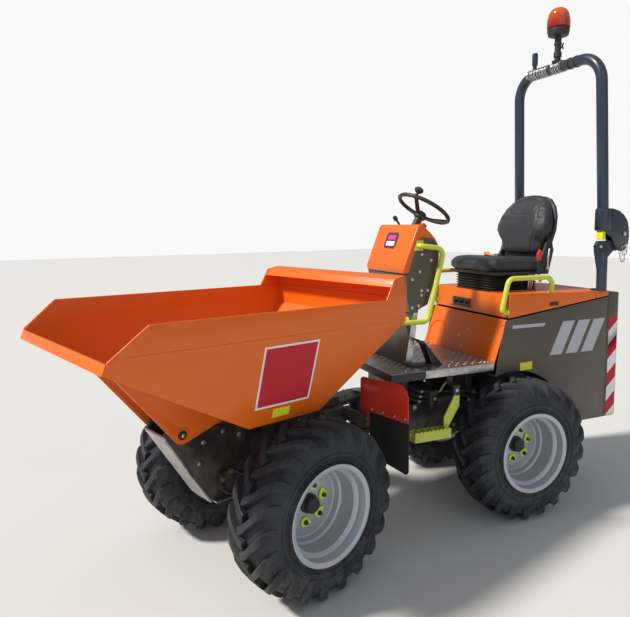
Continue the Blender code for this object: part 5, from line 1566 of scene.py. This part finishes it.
for _, side in SIDES:
    mid = side * HOOP_HALF
    bar(pins, (mid - 0.034, HINGE.y, HINGE.z), (mid + 0.034, HINGE.y, HINGE.z), 0.0125, 20, 0, 0.002)
    bar(pins, (mid - 0.031, 1.574, 1.470), (mid + 0.031, 1.574, 1.470), 0.0110, 18, 0, 0.002)
    turned(pins, [(0, 0.0075), (0, 0.0115), (0.004, 0.0115), (0.004, 0.0075)], 18,
           (mid + side * 0.0265, 1.574, 1.470), (side, 0, 0), 0)
    for low, turn_by in ((0.0, 0.0), (0.022, 0.9)):
        ring = [Vector((mid + side * (0.0295 + 0.006 * math.sin(a + turn_by)), 1.564 + 0.015 * math.sin(a),
                        1.452 - low + 0.017 * math.cos(a)))
                for a in (2 * math.pi * i / 20 for i in range(20))]
        swept(pins, ring + ring[:1], 0.0030, 8, 0)
    bar(stay, (mid - 0.016, 1.387, 1.465), (mid + side * 0.018, 1.387, 1.465), 0.0100, 6, 0, 0.001)
    plate(stay, [(1.388, 1.503), (1.412, 1.503), (1.412, 1.5585), (1.388, 1.5585)], "X", mid - 0.022, mid + 0.022, 1)
piece("hoop_pins", pins, REAR, "rops_hoop", [zinc], smooth=40.0)
piece("hoop_stops", stay, REAR, "rear_frame", [zinc, sign_yellow], edge=0.0015)


# %% [markdown]
# The chain that keeps the locking pin from being lost is a row of small links, each turned a quarter
# from the last. They hang in a short arc below the bracket.

# %% Chain
def chain(name, path, link_length, wire, half, body, finish):
    bm = bmesh.new()
    points = [Vector(p) for p in path]
    runs = [(b - a).length for a, b in zip(points, points[1:])]
    total = sum(runs)
    count = int(total / link_length)
    for i in range(count):
        goal = (i + 0.5) * total / count
        k = 0
        while k < len(runs) - 1 and goal > runs[k]:
            goal -= runs[k]
            k += 1
        at = points[k].lerp(points[k + 1], goal / runs[k])
        way = (points[k + 1] - points[k]).normalized()
        side = way.orthogonal().normalized()
        if i % 2:
            side = way.cross(side)
        loop = []
        for s in range(12):
            a = 2 * math.pi * s / 12
            loop.append(at + way * (math.cos(a) * link_length * 0.62) + side * (math.sin(a) * link_length * 0.34))
        swept(bm, loop + loop[:1], wire, 6)
    return piece(name, bm, half, body, [finish], smooth=60.0)


for side_name, side in SIDES:
    x = side * 0.386
    hang = [(x, 1.564, 1.424), (x, 1.570, 1.402), (x, 1.564, 1.380), (x, 1.552, 1.372), (x, 1.538, 1.384),
            (x, 1.531, 1.412), (x, 1.528, 1.438)]
    chain(f"lock_pin_chain_{side_name}", hang, 0.014, 0.0020, REAR, "rops_hoop", zinc)

wraps = bmesh.new()
for x in (0.110, 0.160):
    turned(wraps, [(0, 0.0322), (0, 0.0350), (0.006, 0.0350), (0.006, 0.0322)], 28, (x, BAR_Y, 2.562), (1, 0, 0), 0)
piece("hoop_cable_ties", wraps, REAR, "rops_hoop", [black_plastic], smooth=40.0)
lashing = bmesh.new()
for first, last, start in ((-0.250, -0.060, 0.0), (-0.030, 0.055, 1.0)):
    loops = int((last - first) / 0.0085)
    coil = []
    for i in range(loops * 14 + 1):
        a = 2 * math.pi * i / 14 + start
        wander = 0.0035 * math.sin(a * 0.37) + 0.0020 * math.sin(a * 0.91)
        x = first + (last - first) * i / (loops * 14) + wander
        coil.append((x, BAR_Y + 0.0345 * math.cos(a), 2.562 + 0.0345 * math.sin(a)))
    swept(lashing, coil, 0.0021, 6)
piece("beacon_lead_lashing", lashing, REAR, "rops_hoop", [zinc], smooth=60.0)
print("hoop made")

# %% [markdown]
# ## Beacon
# An amber dome with moulded rings on a black foot, on a stem that clamps to a spigot on the hoop.

# %% Beacon
BAR_TOP = 2.562 + 0.032
stem = bmesh.new()
turned(stem, [(0, 0), (0, 0.019), (0.030, 0.019), (0.032, 0.024), (0.060, 0.024), (0.064, 0.019), (0.100, 0.019),
              (0.104, 0.0235), (0.116, 0.0235),
              (0.120, 0.020), (0.150, 0.021), (0.156, 0.045), (0.160, 0.060), (0.166, 0.063), (0.176, 0.063),
              (0.180, 0.066), (0.200, 0.066),
              (0.205, 0.062), (0.205, 0.0)], 40, (0, BAR_Y, BAR_TOP + 0.0003), (0, 0, 1), 0)
bar(stem, (0.020, BAR_Y, BAR_TOP + 0.080), (0.052, BAR_Y - 0.012, BAR_TOP + 0.083), 0.006, 12, 0, 0.001)
for wing in (-1.0, 1.0):
    bar(stem, (0.048, BAR_Y - 0.010, BAR_TOP + 0.083), (0.062, BAR_Y - 0.016, BAR_TOP + 0.083 + wing * 0.018), 0.0045,
        10, 0, 0.001)
turned(stem, [(0, 0.0), (0, 0.030), (0.008, 0.034), (0.014, 0.034), (0.014, 0.0)], 28, (0, BAR_Y, BAR_TOP - 0.004),
       (0, 0, 1), 0)
piece("beacon_stem", stem, REAR, "rops_hoop", [black_plastic, zinc], "beacon_base", smooth=35.0)
dome_profile = [(0.0, 0.0), (0.0, 0.069), (0.004, 0.070)]
for i in range(8):
    z = 0.010 + i * 0.0085
    swell = 0.0695 - 0.0009 * max(0, i - 3) ** 1.5
    dome_profile += [(z, swell - 0.0008), (z + 0.0042, swell)]
dome_profile += [(0.082, 0.0605), (0.094, 0.0555), (0.104, 0.0485), (0.1120, 0.0395), (0.1180, 0.0280),
                 (0.1215, 0.0150), (0.1232, 0.0)]
dome = bmesh.new()
turned(dome, dome_profile, 48, (0, BAR_Y, BAR_TOP + 0.2056), (0, 0, 1))
piece("beacon_lens", dome, REAR, "rops_hoop", [amber_lens], "beacon_dome", smooth=34.0)
print("beacon made")

# %% [markdown]
# ## Yard and light
# A plain pale floor, a soft high sun from the machine's right front, and an even sky, so that the
# faces that look forward are brightest and the near side is a shade darker.

# %% Floor and lights
floor_mesh = bpy.data.meshes.new("floor")
reach = 30.0
floor_mesh.from_pydata([(-reach, -reach, 0), (reach, -reach, 0), (reach, reach, 0), (-reach, reach, 0)], [],
                       [(0, 1, 2, 3)])
floor = bpy.data.objects.new("floor", floor_mesh)
bpy.context.collection.objects.link(floor)
ground, tree, shader, place = finish_tree("pale_floor", 0.9)
tree.links.new(blend_colour(tree, drift(tree, place, 1.5, 3.0), (0.60, 0.60, 0.60), (0.63, 0.63, 0.63)),
               shader.inputs["Base Color"])
floor_mesh.materials.append(ground)


def sun(name, toward, strength, spread, colour=(1.0, 1.0, 1.0)):
    light = bpy.data.lights.new(name, "SUN")
    light.energy = strength
    light.angle = math.radians(spread)
    light.color = colour
    obj = bpy.data.objects.new(name, light)
    obj.rotation_euler = Vector(toward).to_track_quat("-Z", "Y").to_euler()
    bpy.context.collection.objects.link(obj)


sun("key", (0.42, 0.86, -0.95), 4.3, 7.0, (1.0, 0.95, 0.86))
sun("fill", (-0.9, 0.45, -0.35), 0.35, 60.0, (0.90, 0.95, 1.0))
world = bpy.data.worlds.new("sky")
world.use_nodes = True
sky = world.node_tree
even_light = sky.nodes["Background"]
even_light.inputs["Color"].default_value = (0.90, 0.95, 1.0, 1.0)
even_light.inputs["Strength"].default_value = 0.38
backdrop = sky.nodes.new("ShaderNodeBackground")
backdrop.inputs["Color"].default_value = (1.0, 1.0, 1.0, 1.0)
backdrop.inputs["Strength"].default_value = 0.95
ray = sky.nodes.new("ShaderNodeLightPath")
choose = sky.nodes.new("ShaderNodeMixShader")
sky.links.new(ray.outputs["Is Camera Ray"], choose.inputs["Fac"])
sky.links.new(even_light.outputs[0], choose.inputs[1])
sky.links.new(backdrop.outputs[0], choose.inputs[2])
sky.links.new(choose.outputs[0], sky.nodes["World Output"].inputs["Surface"])
bpy.context.scene.world = world
bpy.context.scene.view_settings.view_transform = "Standard"
print("floor and lights made")

# %% The imported solids that are still shown are listed
shown = [o for o in frame["nodes"].values() if not o.hide_render]
print("packed solids still shown:", sorted(o.name for o in shown))
